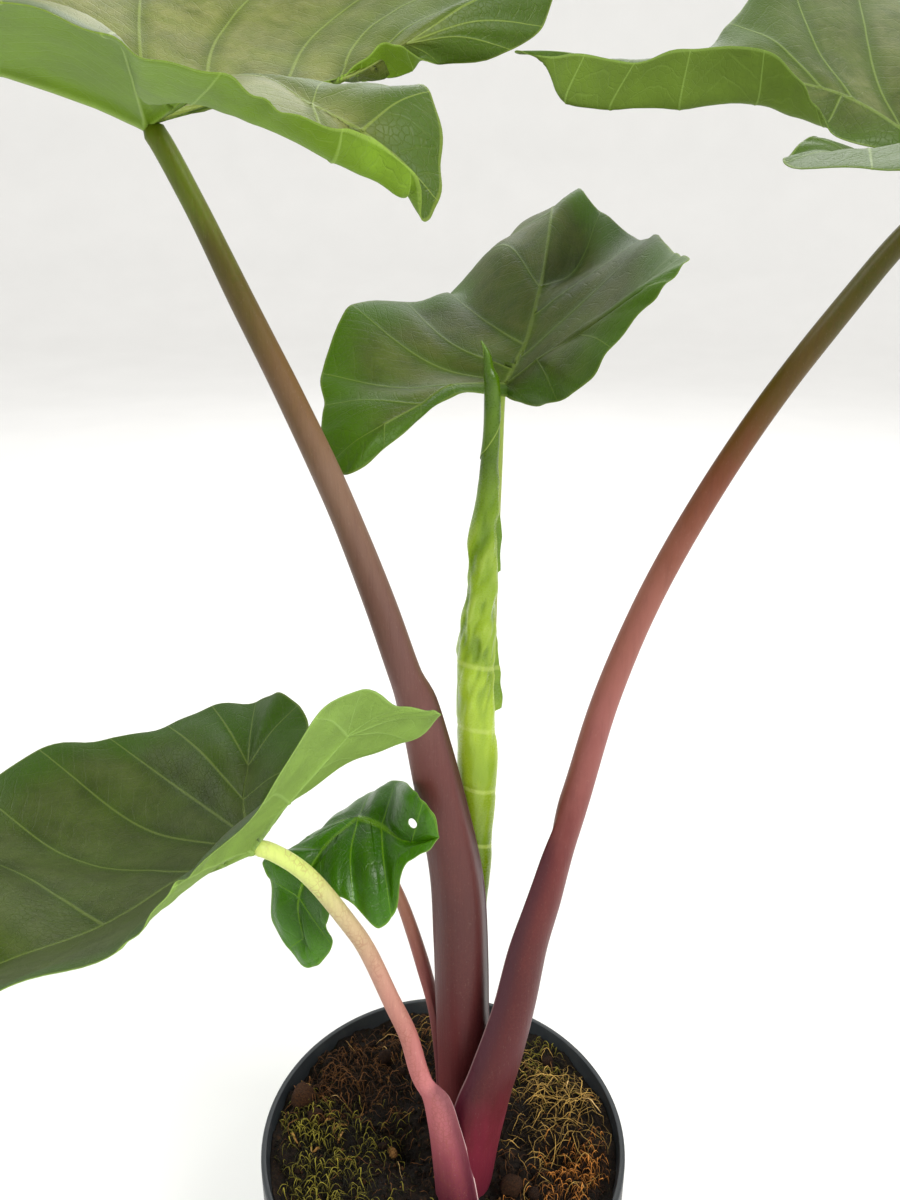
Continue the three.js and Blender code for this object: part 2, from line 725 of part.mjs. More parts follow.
function rhizomeGeometry(grow = 0) {
  const { top, bottom, radius, taper, scars, scar, crown, topRing } = rhizome;
  const height = topRing * (top - bottom);
  const profile = [new THREE.Vector2(0, bottom - grow)];
  for (let i = 0; i < scars; i += 1) {
    const share = i / (scars - 1);
    const belly = radius * Math.sqrt(1 - (1 - share) ** 2 * taper);
    const notch = i % 2 ? scar : 0;
    profile.push(new THREE.Vector2(belly - notch + grow, bottom + height * share + grow * (2 * share - 1)));
  }
  profile.push(new THREE.Vector2(crown + grow, top + grow), new THREE.Vector2(0, top + grow));
  const body = new THREE.LatheGeometry(profile, rhizome.sides);
  body.rotateX(Math.PI / 2);
  body.translate(...rhizome.centre, 0);
  return body;
}

// Soil: fills the pot up to a lumpy top

function soilHeight(x, y) {
  const lumps = Math.sin(x / 13 + 1.2) * Math.cos(y / 11 - 0.6) + 0.6 * Math.sin((x + 1.7 * y) / 8.5);
  const away = Math.hypot(x - soil.hollowCentre[0], y - soil.hollowCentre[1]) / soil.hollowRadius;
  return soil.level + (soil.lump / 1.6) * lumps - soil.hollow * Math.exp(-(away ** 2));
}

function soilGeometry() {
  const foot = pot.floor + gap;
  const wallInside = (z) => potRadius(z) - pot.wall - 2 * gap;
  const bandFoot = pot.height - pot.bandHeight;
  const ring = (radius, height) => Array.from({ length: soil.sides }, (_, i) => {
    const turn = (2 * Math.PI * i) / soil.sides;
    const x = radius * Math.cos(turn);
    const y = radius * Math.sin(turn);
    return [x, y, height ?? soilHeight(x, y)];
  });
  const loops = [ring(wallInside(foot), foot), ring(wallInside(bandFoot), bandFoot)];
  for (let r = soil.rings; r >= 1; r -= 1) loops.push(ring((soil.edge * r) / soil.rings));
  return loft(loops, [0, 0, foot], [0, 0, soilHeight(0, 0)]);
}

// Assembly. An outer sheath is cut round what it clasps, each stalk round its blade's underside, and
// the soil round everything that stands in it.

const blades = { left, right, low_left, back, small };
const group = new THREE.Group();

function add(name, geometry, material) {
  const mesh = new THREE.Mesh(geometry, material);
  mesh.name = name;
  group.add(mesh);
}

const inward = ["rolled_leaf", "left", "right", "low_left", "back", "small"];
const grown = { rhizome: solidOf(rhizomeGeometry(gap)), rolled_leaf: solidOf(rolledLeafGeometry(gap)) };
for (const name of inward.slice(1)) grown[name] = solidOf(stalkGeometry(stalks[name], gap));

const stalkLook = {
  left: maroonStalk,
  right: roseStalk,
  low_left: paleStalk,
  back: limeStalk,
  small: roseStalk,
};
for (const [name, shape] of Object.entries(blades)) {
  let solid = solidOf(stalkGeometry(stalks[name])).subtract(grown.rhizome);
  for (const inner of inward.slice(0, inward.indexOf(name))) solid = solid.subtract(grown[inner]);
  solid = solid.subtract(solidOf(bladeGeometry(shape, jointGap)));
  add(`stalk_${name}`, geometryFrom(solid), stalkLook[name]);
  add(`blade_${name}`, bladeGeometry(shape), name === "small" ? youngGreen : leafGreen);
}
add("rolled_leaf", geometryFrom(solidOf(rolledLeafGeometry()).subtract(grown.rhizome)), rolledGreen);
add("rhizome", rhizomeGeometry(), tuber);
add("pot", potGeometry(), potBlack);

let ground = solidOf(soilGeometry()).subtract(grown.rhizome);
for (const name of inward) ground = ground.subtract(grown[name]);
add("soil", geometryFrom(ground), peat);

export default group;
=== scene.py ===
import math
import random

import bpy
import numpy as np
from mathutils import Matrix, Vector, noise


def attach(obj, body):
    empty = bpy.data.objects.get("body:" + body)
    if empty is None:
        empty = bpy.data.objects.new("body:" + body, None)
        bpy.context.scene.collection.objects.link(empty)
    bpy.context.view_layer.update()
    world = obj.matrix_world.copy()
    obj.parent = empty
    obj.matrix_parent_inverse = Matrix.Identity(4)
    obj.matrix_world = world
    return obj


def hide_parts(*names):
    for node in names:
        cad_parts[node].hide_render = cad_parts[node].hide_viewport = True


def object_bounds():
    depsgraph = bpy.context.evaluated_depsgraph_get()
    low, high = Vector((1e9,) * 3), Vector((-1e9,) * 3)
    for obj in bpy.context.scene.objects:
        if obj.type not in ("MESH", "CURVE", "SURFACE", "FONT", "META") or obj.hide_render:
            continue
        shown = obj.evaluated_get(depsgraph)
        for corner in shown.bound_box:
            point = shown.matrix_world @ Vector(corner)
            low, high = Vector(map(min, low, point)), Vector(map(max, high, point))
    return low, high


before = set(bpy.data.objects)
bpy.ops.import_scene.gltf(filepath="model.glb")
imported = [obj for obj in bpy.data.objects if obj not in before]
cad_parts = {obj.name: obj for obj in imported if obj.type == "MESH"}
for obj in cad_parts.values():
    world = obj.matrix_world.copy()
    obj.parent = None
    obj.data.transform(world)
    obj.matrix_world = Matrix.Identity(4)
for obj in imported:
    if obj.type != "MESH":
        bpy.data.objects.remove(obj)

# A potted imperial red alocasia. Shapes are in millimetres and turned to metres when a mesh is made.
# +Z is up, the origin is the middle of the pot's underside and -Y is the side seen in front.

cad_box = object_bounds()
chance = random.Random(11)

MM = 0.001

# Driving sizes, the same as the solids'

POT = {"height": 150, "rim": 95, "base": 68, "wall": 1.6, "floor": 2.4, "band": 19, "step": 3.2}
HOLES = {"count": 8, "radius": 5, "circle": 50}
SOIL = {"level": 144, "lump": 2.4, "dip": 9, "dip_centre": (8, -22), "dip_radius": 38}

STALKS = {
    "left": {
        "groove": (0.35, 1, 0),
        "stations": [
            ((11, 4, 100), 12, 11, 1), ((11, 4, 131), 12.5, 11.5, 1), ((10, 2, 197), 13, 11, 1),
            ((9, 1, 237), 12.9, 10.5, 1), ((8, 0, 275), 12.8, 10, 1), ((6, -1, 312), 12.1, 9.4, 1),
            ((-2, -4, 363), 10.4, 8.6, 0.9), ((-11, -8, 410), 8.6, 7.6, 0.4),
            ((-15, -9, 422), 7, 7, 0), ((-25, -12, 457), 6.4, 6.4, 0), ((-39, -16, 500), 5.7, 5.7, 0),
            ((-54, -20, 539), 5.1, 5.1, 0), ((-69, -24, 575), 4.5, 4.5, 0),
            ((-82, -28, 607), 3.9, 3.9, 0), ((-92, -29.6, 627.5), 3.8, 3.8, 0),
        ],
    },
    "right": {
        "groove": (-1, 0.55, 0),
        "stations": [
            ((10, -15, 100), 14, 12, 1), ((12, -15, 131), 15, 12.5, 1), ((14, -15, 154), 16, 13, 1),
            ((21, -14, 193), 15.8, 12.4, 1), ((26, -14, 213), 14, 11.6, 1),
            ((34, -12, 249), 11.2, 10.4, 0.95), ((40, -10, 283), 10.1, 9.4, 0.9),
            ((46, -9, 307), 9.8, 8.6, 0.75), ((52, -7, 333), 8.4, 7.6, 0.45),
            ((59, -5, 358), 6.6, 6.6, 0), ((71, 0, 406), 5.9, 5.9, 0), ((87, 4, 451), 5.4, 5.4, 0),
            ((107, 6, 494), 5.1, 5.1, 0), ((129, 6, 534), 4.8, 4.8, 0), ((153, 3, 572), 4.5, 4.5, 0),
            ((167, 0, 593), 4.3, 4.3, 0), ((182, -5, 611), 4.1, 4.1, 0),
        ],
    },
    "low_left": {
        "groove": (0.75, 0.65, 0),
        "stations": [
            ((7, -24, 100), 12.5, 9, 1), ((6, -25, 135), 11.6, 8.6, 1), ((3, -26, 164), 10, 7.4, 1),
            ((0, -26, 185), 8.6, 6.4, 0.9), ((-4, -27, 206), 7.4, 5.6, 0.8), ((-10, -28, 219), 4.8, 4.8, 0.1),
            ((-16, -29, 246), 4.3, 4.3, 0), ((-23, -32, 269), 4.1, 4.1, 0), ((-33, -36, 302), 3.9, 3.9, 0),
            ((-39, -40, 318), 3.8, 3.8, 0), ((-57, -50, 355), 3.6, 3.6, 0), ((-71, -58, 371), 3.4, 3.4, 0),
        ],
    },
    "back": {
        "groove": (0, -1, 0),
        "stations": [
            ((12, 24, 100), 6.6, 5.6, 0.6), ((13, 24, 147), 6, 5.2, 0.6), ((16, 24, 218), 5, 4.8, 0.3),
            ((18, 25, 280), 4.2, 4.2, 0), ((19, 25, 338), 3.9, 3.9, 0), ((20, 26, 392), 3.7, 3.7, 0),
            ((21, 29, 431), 3.6, 3.6, 0), ((22, 33, 470), 3.4, 3.4, 0), ((23, 37, 500), 3.3, 3.3, 0),
            ((24, 43, 527), 3.2, 3.2, 0), ((24.7, 44.2, 531.5), 3.2, 3.2, 0),
        ],
    },
    "small": {
        "groove": (0.9, -0.4, 0),
        "stations": [
            ((2, 17, 100), 5, 4.4, 0.7), ((1, 16, 150), 4.6, 4.2, 0.7), ((-1, 15, 190), 4.2, 3.9, 0.5),
            ((-4, 14, 220), 3.9, 3.8, 0.3), ((-10, 12, 250), 3.6, 3.6, 0), ((-15, 9, 274), 3.3, 3.3, 0),
            ((-20, 7, 294), 2.9, 2.9, 0), ((-25, 5, 310), 2.6, 2.6, 0), ((-31, 2, 328), 2.2, 2.2, 0),
            ((-36, -0.6, 343), 2.1, 2.1, 0),
        ],
    },
}

ROLLED_LEAF = {
    "step": 0.13,
    "stations": [
        ((11, 8, 100), 4.4), ((13, 8, 200), 4.4), ((16, 9, 280), 4.8), ((17, 9, 307), 5.7),
        ((17, 9, 321), 6.7), ((16, 9, 335), 7.7), ((16, 9, 349), 8.5), ((16, 8, 363), 9.1),
        ((16, 8, 378), 9.1), ((15, 8, 396), 8.6), ((15, 7, 415), 8.6), ((15, 7, 430), 8.4),
        ((16, 7, 444), 7.6), ((17, 6, 458), 6.6), ((17, 6, 472), 6.1), ((18, 6, 485), 5.4),
        ((19, 6, 498), 4.6), ((19, 5, 507), 3.8), ((20, 5, 520), 3.4), ((20, 5, 534), 3.2),
        ((19.5, 4, 543), 3), ((18.4, 4, 547), 2), ((18, 4, 551), 1.5), ((17, 4, 554), 1),
        ((15.5, 4, 557), 0.4),
    ],
}

# A blade has a midrib, from its tip to the joint, and two halves. A half has the main vein of its lobe
# and a row of ribs: the place on the veins where the rib starts, then its middle where it isn't a plain
# arch, then its end on the margin. Places run from the tip at 0 through the joint to the lobe's end and
# back along the lobe's inner side.

BLADES = {
    "left": {
        "up": (0, -0.2, 1),
        "midrib": [(-372, -62, 560), (-325, -58, 602), (-262, -54, 634), (-196, -48, 650),
                   (-134, -42, 644), (-94, -30, 630)],
        "left": {
            "vein": [(-69, -8, 639), (-40, 12, 645), (-30, 20, 649), (-13, 34, 660)],
            "ribs": [
                (0, (-372, -62, 560)), (1, (-350, -18, 606)), (2, (-318, 18, 650)),
                (3, (-262, 58, 680)), (4, (-195, 88, 698)), (5, (-108, 26, 667), (-122, 108, 708)),
                (5.6, (-82, 38, 663), (-52, 122, 714)), (6.5, (-48, 46, 664), (4, 120, 711)),
                (7.3, (-28, 48, 666), (30, 110, 704)), (8, (-10, 48, 668), (48, 98, 696)),
                (9, (46, 76, 686)), (9, (40, 66, 670)), (9, (27, 57, 661)), (9, (0, 45, 654)),
                (8.6, (-11, 38, 652), (-12, 26, 657)), (8.3, (-20, 34, 649), (-19, 22, 659)),
                (8, (-30, 26, 647), (-28, 20, 653)), (7.6, (-40, 14, 644)), (6.8, (-55, 3, 641)),
                (6, (-69, -8, 637)), (5, (-91, -24, 631)),
            ],
        },
        "right": {
            "vein": [(-72, -48, 639), (-50, -66, 639), (-33, -90, 630), (-19, -104, 623)],
            "ribs": [
                (0, (-372, -62, 560)), (1, (-318, -112, 603)), (2, (-250, -150, 632)),
                (3, (-172, -168, 646)), (4, (-84, -160, 643)), (5, (-66, -158, 638)),
                (5.5, (-76, -100, 631), (-58, -152, 634)), (6, (-59, -115, 629), (-45, -148, 632)),
                (7, (-49, -122, 626), (-38, -142, 628)), (7.5, (-40, -128, 623), (-32, -140, 625)),
                (8, (-24, -126, 616), (-21, -134, 622)), (8.5, (-16, -120, 612), (-15, -126, 620)),
                (9, (-8, -112, 608), (-6, -117, 614)), (9, (-3, -106, 602)), (9, (0, -100, 607)),
                (9, (1, -92, 619)), (9, (-2, -84, 634)), (8, (-13, -76, 636)), (8, (-32, -66, 638)),
                (7, (-53, -54, 640)), (6, (-74, -38, 636)), (5, (-91, -24, 631)),
            ],
        },
    },
    "right": {
        "up": (0, -0.3, 1),
        "midrib": [(446, -56, 530), (408, -50, 575), (355, -40, 608), (295, -28, 627), (238, -16, 626),
                   (184, -6, 613)],
        "left": {
            "vein": [(163, 6, 630), (148, 15, 640), (138, 20, 644), (102, 24, 650), (66, 28, 650)],
            "ribs": [
                (0, (446, -56, 530)), (1, (436, -10, 580)), (2, (404, 40, 636)),
                (3, (350, 82, 668)), (4, (286, 110, 686)), (5, (178, 22, 645), (214, 122, 696)),
                (6, (161, 26, 645), (176, 116, 702)), (7, (142, 46, 661), (142, 98, 698)),
                (8, (114, 66, 671)), (9, (103, 58, 661)), (10, (76, 48, 656)), (10, (45, 38, 656)),
                (10, (28, 30, 657)), (10, (41, 25, 648), (39, 26, 655)),
                (10, (46, 20, 640), (52, 22, 655)), (9.6, (61, 15, 637), (69, 14, 652)),
                (9.2, (85, 10, 637), (87, 8, 655)), (8.8, (112, 9, 639), (111, 2, 654)),
                (8, (125, 8, 634), (123, -2, 645)), (7.4, (136, 6, 631), (130, 0, 637)),
                (7, (145, 3, 627), (140, 1, 627)), (6, (162, 0, 622)), (5, (177, -8, 614)),
            ],
        },
        "right": {
            "vein": [(150, -50, 616), (118, -80, 617)],
            "ribs": [
                (0, (446, -56, 530)), (1, (402, -100, 578)), (2, (350, -140, 612)),
                (3, (285, -165, 630)), (4, (225, -170, 628)), (5, (172, -162, 622)),
                (6, (130, -148, 616)), (7, (104, -126, 614)), (7, (91, -100, 616)),
                (7, (96, -90, 619)), (7, (102, -82, 623)), (6.5, (118, -68, 619)),
                (6, (144, -44, 620)), (5, (177, -8, 614)),
            ],
        },
    },
    "low_left": {
        "up": (0, -0.2, 1),
        "midrib": [(-232, -170, 340), (-188, -152, 366), (-142, -130, 377), (-116, -106, 373),
                   (-91, -80, 376), (-74, -60, 372)],
        "left": {
            "vein": [(-81, -36, 378), (-83, -14, 381)],
            "ribs": [
                (0, (-232, -170, 340)), (1, (-212, -116, 378)), (2, (-196, -66, 390)),
                (3, (-211, -34, 353)), (4, (-147, -52, 360), (-198, -18, 370)),
                (5, (-122, -36, 364), (-178, 0, 381)), (5.2, (-115, -16, 373), (-150, 10, 381)),
                (6, (-125, 16, 384)), (7, (-106, 24, 390)), (7, (-85, 22, 393)),
                (7, (-74, 14, 402)), (7, (-63, 4, 401)), (7, (-57, -10, 398)), (6, (-58, -30, 392)),
                (5, (-71, -50, 371)),
            ],
        },
        "right": {
            "vein": [(-54, -84, 410), (-33, -76, 432)],
            "ribs": [
                (0, (-232, -170, 340)), (1, (-183, -169, 380), (-177, -190, 390)),
                (2, (-134, -163, 399), (-119, -196, 424)),
                (3, (-112, -151, 398), (-106, -194, 428)), (4, (-88, -129, 400), (-84, -176, 424)),
                (4.5, (-82, -116, 398), (-79, -166, 425)), (5, (-74, -107, 401), (-74, -156, 429)),
                (5.3, (-70, -150, 429)), (6, (-53, -128, 438)), (7, (-39, -106, 455)),
                (7, (-26, -86, 455)), (7, (-14, -72, 441)), (7, (-4, -64, 435)), (7, (0, -58, 430)),
                (7, (-11, -54, 417)), (6.5, (-30, -56, 411)), (6, (-54, -60, 396)),
                (5, (-71, -50, 371)),
            ],
        },
    },
    "back": {
        "up": (0, -1, 1),
        "midrib": [(60, 206, 570), (57, 172, 597), (53, 132, 601), (44, 82, 570), (36, 58, 548),
                   (28, 45, 533)],
        "left": {
            "vein": [(4, 31, 535), (-8, 17, 530), (-22, 3, 525)],
            "ribs": [
                (0, (60, 206, 570)), (1, (46, 180, 594), (30, 186, 558)),
                (2, (33, 146, 588), (14, 166, 558)), (3, (28, 124, 586), (4, 148, 560)),
                (4, (18, 86, 556), (3, 112, 565)), (4.6, (3, 66, 548), (-17, 90, 563)),
                (5, (-7, 52, 542), (-39, 64, 564)), (6, (-21, 30, 535), (-49, 32, 540)),
                (7, (-47, 16, 530)), (8, (-47, 6, 522)), (8, (-41, -4, 513)), (8, (-36, -10, 509)),
                (8, (-22, -4, 517)), (7, (-8, 10, 526)), (6, (6, 25, 533)), (5, (28, 37, 530)),
            ],
        },
        "right": {
            "vein": [(39, 30, 546), (54, 10, 558), (69, -10, 574)],
            "ribs": [
                (0, (60, 206, 570)), (1, (76, 184, 584)), (2, (67, 152, 611)),
                (3, (61, 100, 576), (75, 122, 601)), (3.5, (69, 72, 579), (88, 84, 590)),
                (4.3, (68, 52, 574), (88, 56, 593)), (5, (63, 22, 563), (88, 12, 588)),
                (6, (67, 5, 570), (87, -6, 588)), (7, (85, -22, 587)), (8, (79, -26, 581)),
                (7, (73, -19, 572)), (7, (62, -15, 557)), (6, (54, -14, 545)), (6, (45, 0, 535)),
                (5, (36, 20, 530)), (5, (28, 37, 530)),
            ],
        },
    },
    "small": {
        "up": (0, -1, 1),
        "midrib": [(-1, -24, 352), (-9, -22, 348), (-17, -18, 346), (-27, -9, 347), (-38, -2, 347)],
        "left": {
            "vein": [(-48, 5, 339), (-59, 6, 331)],
            "ribs": [
                (0, (-1, -24, 352)), (1, (-4, -23, 363)), (1.5, (-8, -21, 368)),
                (2, (-12, -15, 370)), (3, (-21, 10, 359)), (4, (-34, 22, 345)), (5, (-46, 22, 334)),
                (6, (-58, 18, 327)), (6, (-67, 10, 324)), (6, (-71, 4, 324)), (5, (-60, 0, 331)),
                (4, (-44, 0, 342)),
            ],
        },
        "right": {
            "vein": [(-53, -14, 338), (-63, -25, 321), (-61, -31, 304)],
            "ribs": [
                (0, (-1, -24, 352)), (1, (-6, -29, 348)), (2, (-16, -26, 344), (-14, -32, 345)),
                (3, (-25, -25, 338), (-22, -36, 320)), (3.5, (-29, -27, 337), (-27, -40, 317)),
                (4, (-40, -20, 340), (-38, -36, 326)), (4.5, (-45, -34, 328)), (5, (-50, -35, 315)),
                (6, (-48, -35, 303)), (7, (-53, -35, 295)), (7, (-59, -35, 291)),
                (7, (-68, -31, 298)), (6, (-75, -25, 308)), (6, (-76, -19, 326)),
                (5, (-80, -15, 332)), (5, (-68, -6, 334)), (4, (-44, 0, 342)),
            ],
        },
    },
}

# Shader maths


class Value:
    """A socket of a finish's node tree. Arithmetic on it adds Math nodes."""

    def __init__(self, finish, socket):
        self.finish = finish
        self.socket = socket

    def _math(self, operation, *values):
        return self.finish.node("Math", {"operation": operation}, dict(enumerate(values)))

    def __add__(self, other):
        return self._math("ADD", self, other)

    def __sub__(self, other):
        return self._math("SUBTRACT", self, other)

    def __rsub__(self, other):
        return self._math("SUBTRACT", other, self)

    def __mul__(self, other):
        return self._math("MULTIPLY", self, other)

    def __truediv__(self, other):
        return self._math("DIVIDE", self, other)

    def __rtruediv__(self, other):
        return self._math("DIVIDE", other, self)

    __radd__ = __add__
    __rmul__ = __mul__

    def fraction(self):
        return self._math("FRACT", self)

    def size(self):
        return self._math("ABSOLUTE", self)

    def most(self, other):
        return self._math("MAXIMUM", self, other)

    def rise(self, low, high, bottom=0.0, top=1.0):
        """Goes smoothly from bottom to top while this value goes from low to high."""
        settings = {"interpolation_type": "SMOOTHSTEP"}
        return self.finish.node("MapRange", settings, {0: self, 1: low, 2: high, 3: bottom, 4: top})


class Finish:
    """A material and the nodes that make it."""

    def __init__(self, name):
        self.material = bpy.data.materials.new(name)
        self.material.use_nodes = True
        self.tree = self.material.node_tree
        self.tree.nodes.clear()
        self.place = self.node("TexCoord", output="Object")

    def node(self, kind, settings=None, inputs=None, output=0):
        """Makes a node from its settings and its sockets' values or links, and gives one output."""
        made = self.tree.nodes.new("ShaderNode" + kind)
        for key, value in (settings or {}).items():
            if key == "stops":
                set_stops(made.color_ramp, value)
            else:
                setattr(made, key, value)
        for key, value in (inputs or {}).items():
            if isinstance(value, Value):
                self.tree.links.new(value.socket, made.inputs[key])
            else:
                made.inputs[key].default_value = value
        return Value(self, made.outputs[output]) if len(made.outputs) else None

    def mark(self, name):
        """A value that the mesh holds at each point."""
        return self.node("Attribute", {"attribute_name": name}, output="Fac")

    def speckle(self, size, detail=2.0, rough=0.5, stretch=(1, 1, 1), warp=0.0):
        """Noise from 0 to 1 with grains of the given size in millimetres."""
        scale = 1 / (size * MM)
        where = self.node("VectorMath", {"operation": "MULTIPLY"}, {0: self.place, 1: stretch})
        inputs = {"Vector": where, "Scale": scale, "Detail": detail, "Roughness": rough, "Distortion": warp}
        return self.node("TexNoise", {}, inputs)

    def cell_walls(self, size):
        """Distance to the nearest wall between cells of the given size in millimetres."""
        inputs = {"Vector": self.place, "Scale": 1 / (size * MM)}
        return self.node("TexVoronoi", {"feature": "DISTANCE_TO_EDGE"}, inputs, output="Distance")

    def ramp(self, value, stops):
        """A colour read from stops, each a position and a colour."""
        return self.node("ValToRGB", {"stops": stops}, {"Fac": value})

    def blend(self, first, second, share):
        """The first colour where the share is 0, the second where it is 1."""
        inputs = {0: share, 6: colour(first), 7: colour(second)}
        return self.node("Mix", {"data_type": "RGBA"}, inputs, output=2)

    def relief(self, height, depth):
        """A bump of the given depth in millimetres."""
        return self.node("Bump", {}, {"Height": height, "Strength": 1.0, "Distance": depth * MM})

    def skin(self, base, roughness, normal=None, **fixed):
        """The surface shader. The fixed values are the same all over."""
        inputs = {"Base Color": colour(base), "Roughness": roughness}
        if normal is not None:
            inputs["Normal"] = normal
        inputs.update({key.replace("_", " "): value for key, value in fixed.items()})
        shader = self.node("BsdfPrincipled", {}, inputs)
        self.node("OutputMaterial", {}, {"Surface": shader})
        return self.material


def linear(channel):
    """A screen value from 0 to 255 as light."""
    share = channel / 255
    return share / 12.92 if share <= 0.04045 else ((share + 0.055) / 1.055) ** 2.4


def tone(red, green, blue):
    """A colour given as on a screen, from 0 to 255."""
    return (linear(red), linear(green), linear(blue), 1.0)


def colour(value):
    """A socket's value or a finished colour as it is, and three screen values as a colour."""
    if isinstance(value, Value) or len(value) == 4:
        return value
    return tone(*value)


def set_stops(ramp, stops):
    """Stops as (position, colour) pairs."""
    while len(ramp.elements) > 1:
        ramp.elements.remove(ramp.elements[-1])
    ramp.elements[0].position = stops[0][0]
    ramp.elements[0].color = colour(stops[0][1])
    for position, value in stops[1:]:
        ramp.elements.new(position).color = colour(value)


# Mesh making


def mesh_object(name, points, faces, marks=None):
    """A smooth mesh object from points in millimetres, with named values at its points."""
    mesh = bpy.data.meshes.new(name)
    corners = [list(map(int, face)) for face in faces]
    mesh.from_pydata((np.asarray(points, float) * MM).tolist(), [], corners)
    for key, values in (marks or {}).items():
        layer = mesh.attributes.new(key, "FLOAT", "POINT")
        layer.data.foreach_set("value", np.asarray(values, np.float32))
    mesh.polygons.foreach_set("use_smooth", [True] * len(mesh.polygons))
    mesh.update()
    made = bpy.data.objects.new(name, mesh)
    bpy.context.scene.collection.objects.link(made)
    return made


class Heap:
    """Many small bits gathered in one mesh."""

    def __init__(self):
        self.points = []
        self.faces = []
        self.tints = []
        self.count = 0

    def add(self, points, faces, tint=0.5):
        self.points.append(np.asarray(points, float))
        self.faces += [tuple(i + self.count for i in face) for face in faces]
        self.tints += [tint] * len(points)
        self.count += len(points)

    def made(self, name):
        return mesh_object(name, np.vstack(self.points), self.faces, {"tint": self.tints})


def place(piece, material, slot, *nodes):
    """Gives a piece its finish and hides the solids that it stands for. The slot is not used."""
    piece.data.materials.append(material)
    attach(piece, "root")
    if nodes:
        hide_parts(*nodes)


def unit(vectors):
    """The vectors at length 1."""
    return vectors / np.maximum(np.linalg.norm(vectors, axis=-1, keepdims=True), 1e-9)


def through(points, places):
    """A smooth curve through points, read at places, where point i stands at place i."""
    points = np.asarray(points, float)
    padded = np.concatenate([[2 * points[0] - points[1]], points, [2 * points[-1] - points[-2]]])
    places = np.clip(np.asarray(places, float), 0, len(points) - 1)
    start = np.minimum(places.astype(int), len(points) - 2)
    u = (places - start).reshape((-1,) + (1,) * (points.ndim - 1))
    a, b, c, d = (padded[start + i] for i in range(4))
    before, inside, after = (np.sqrt(np.linalg.norm(q - p, axis=-1, keepdims=True))
                             for p, q in ((a, b), (b, c), (c, d)))
    inside = np.where(inside < 1e-4, 1.0, inside)
    before = np.where(before < 1e-4, inside, before)
    after = np.where(after < 1e-4, inside, after)
    leaving = ((b - a) / before - (c - a) / (before + inside) + (c - b) / inside) * inside
    meeting = ((c - b) / inside - (d - b) / (inside + after) + (d - c) / after) * inside
    square = -3 * b + 3 * c - 2 * leaving - meeting
    cube = 2 * b - 2 * c + leaving + meeting
    return b + leaving * u + square * u**2 + cube * u**3


def ring_faces(rings, sides):
    """Quads between successive rings of points."""
    faces = []
    for r in range(rings - 1):
        for i in range(sides):
            a = r * sides + i
            b = r * sides + (i + 1) % sides
            faces.append((a, b, b + sides, a + sides))
    return faces


def closed_skin(rings, first, last):
    """Points and faces of a closed skin over rings, with a point at each end."""
    count, sides = rings.shape[:2]
    points = np.vstack([rings.reshape(-1, 3), first, last])
    faces = ring_faces(count, sides)
    end = (count - 1) * sides
    for i in range(sides):
        j = (i + 1) % sides
        faces.append((len(points) - 2, j, i))
        faces.append((len(points) - 1, end + i, end + j))
    return points, faces


def tube(path, radii, sides):
    """A closed round strand along a path."""
    path = np.asarray(path, float)
    along = unit(np.gradient(path, axis=0))
    steady = np.eye(3)[np.argmin(np.abs(along).sum(axis=0))]  # the axis that the path runs along least
    side = unit(np.cross(along, steady))
    facing = np.cross(side, along)
    turn = np.linspace(0, 2 * np.pi, sides, endpoint=False)[None, :, None]
    radii = np.broadcast_to(radii, len(path))[:, None, None]
    rings = path[:, None] + radii * (np.cos(turn) * side[:, None] + np.sin(turn) * facing[:, None])
    return closed_skin(rings, path[0], path[-1])


# Blades

ROWS = 12  # lines of points from one rib to the next
ACROSS = 30  # strips from the vein to the margin
CROWDING = 0.8  # how much the lines crowd towards the ribs
GATHERING = 1.4  # how much the strips narrow towards the vein

BLADE = {
    "half": 0.35,  # half the thickness
    "crown": 0.07,  # how far a plain rib arches up, as a share of its length
    "ruffle": 0.5,
    "midrib_ridge": 2.4,
    "lobe_ridge": 1.5,
    "quilt": 0.5,  # how far the sheet bulges up between its veins
    "young_quilt": 1.9,
    "panel": 5.5,  # distance from a vein at which most of the bulge has risen
    "scallop": 1.1,  # small waves of the margin in the sheet's own plane
    "scallop_length": 13,
    "warp": 0.8,  # slow unevenness of the whole sheet
    "warp_length": 30,
    "thin_edge": 3,  # where the sheet starts to thin towards its margin
    "bead": 0.25,  # how far the margin's edge stands out
}

VEINS = {  # all widths are half widths
    "apart": 17,  # least distance on the margin from one side vein to the next
    "outer": 0.28,
    "gain": 0.5,  # what a side vein gains from its outer end to its foot
    "full_length": 50,  # a rib this long has a side vein of full width
    "least": 0.35,  # share of the width on the shortest rib
    "midrib": 0.5,  # at the leaf's tip
    "midrib_gain": 2.1,
    "lobe": 1.8,  # at the joint
    "lobe_loss": 1.1,
    "side_above": 0.35,  # how far veins stand out of the sheet, as shares of their size
    "side_below": 0.6,
    "main_above": 0.25,
}


def crowded(steps):
    """Shares from 0 to 1 that crowd towards both ends."""
    share = np.arange(steps + 1) / steps
    return share - CROWDING * np.sin(2 * np.pi * share) / (2 * np.pi)


def crowded_places(last):
    """Places from 0 to last that crowd towards the whole numbers."""
    inside = (np.arange(last)[:, None] + crowded(ROWS)[None, :-1]).ravel()
    return np.append(inside, last)


def veined_ribs(margins):
    """The ribs that carry a side vein: those that end well apart on the margin."""
    chosen = [0]
    for i in range(1, len(margins) - 1):
        if np.linalg.norm(margins[i] - margins[chosen[-1]]) >= VEINS["apart"]:
            chosen.append(i)
    return np.array(chosen[1:])


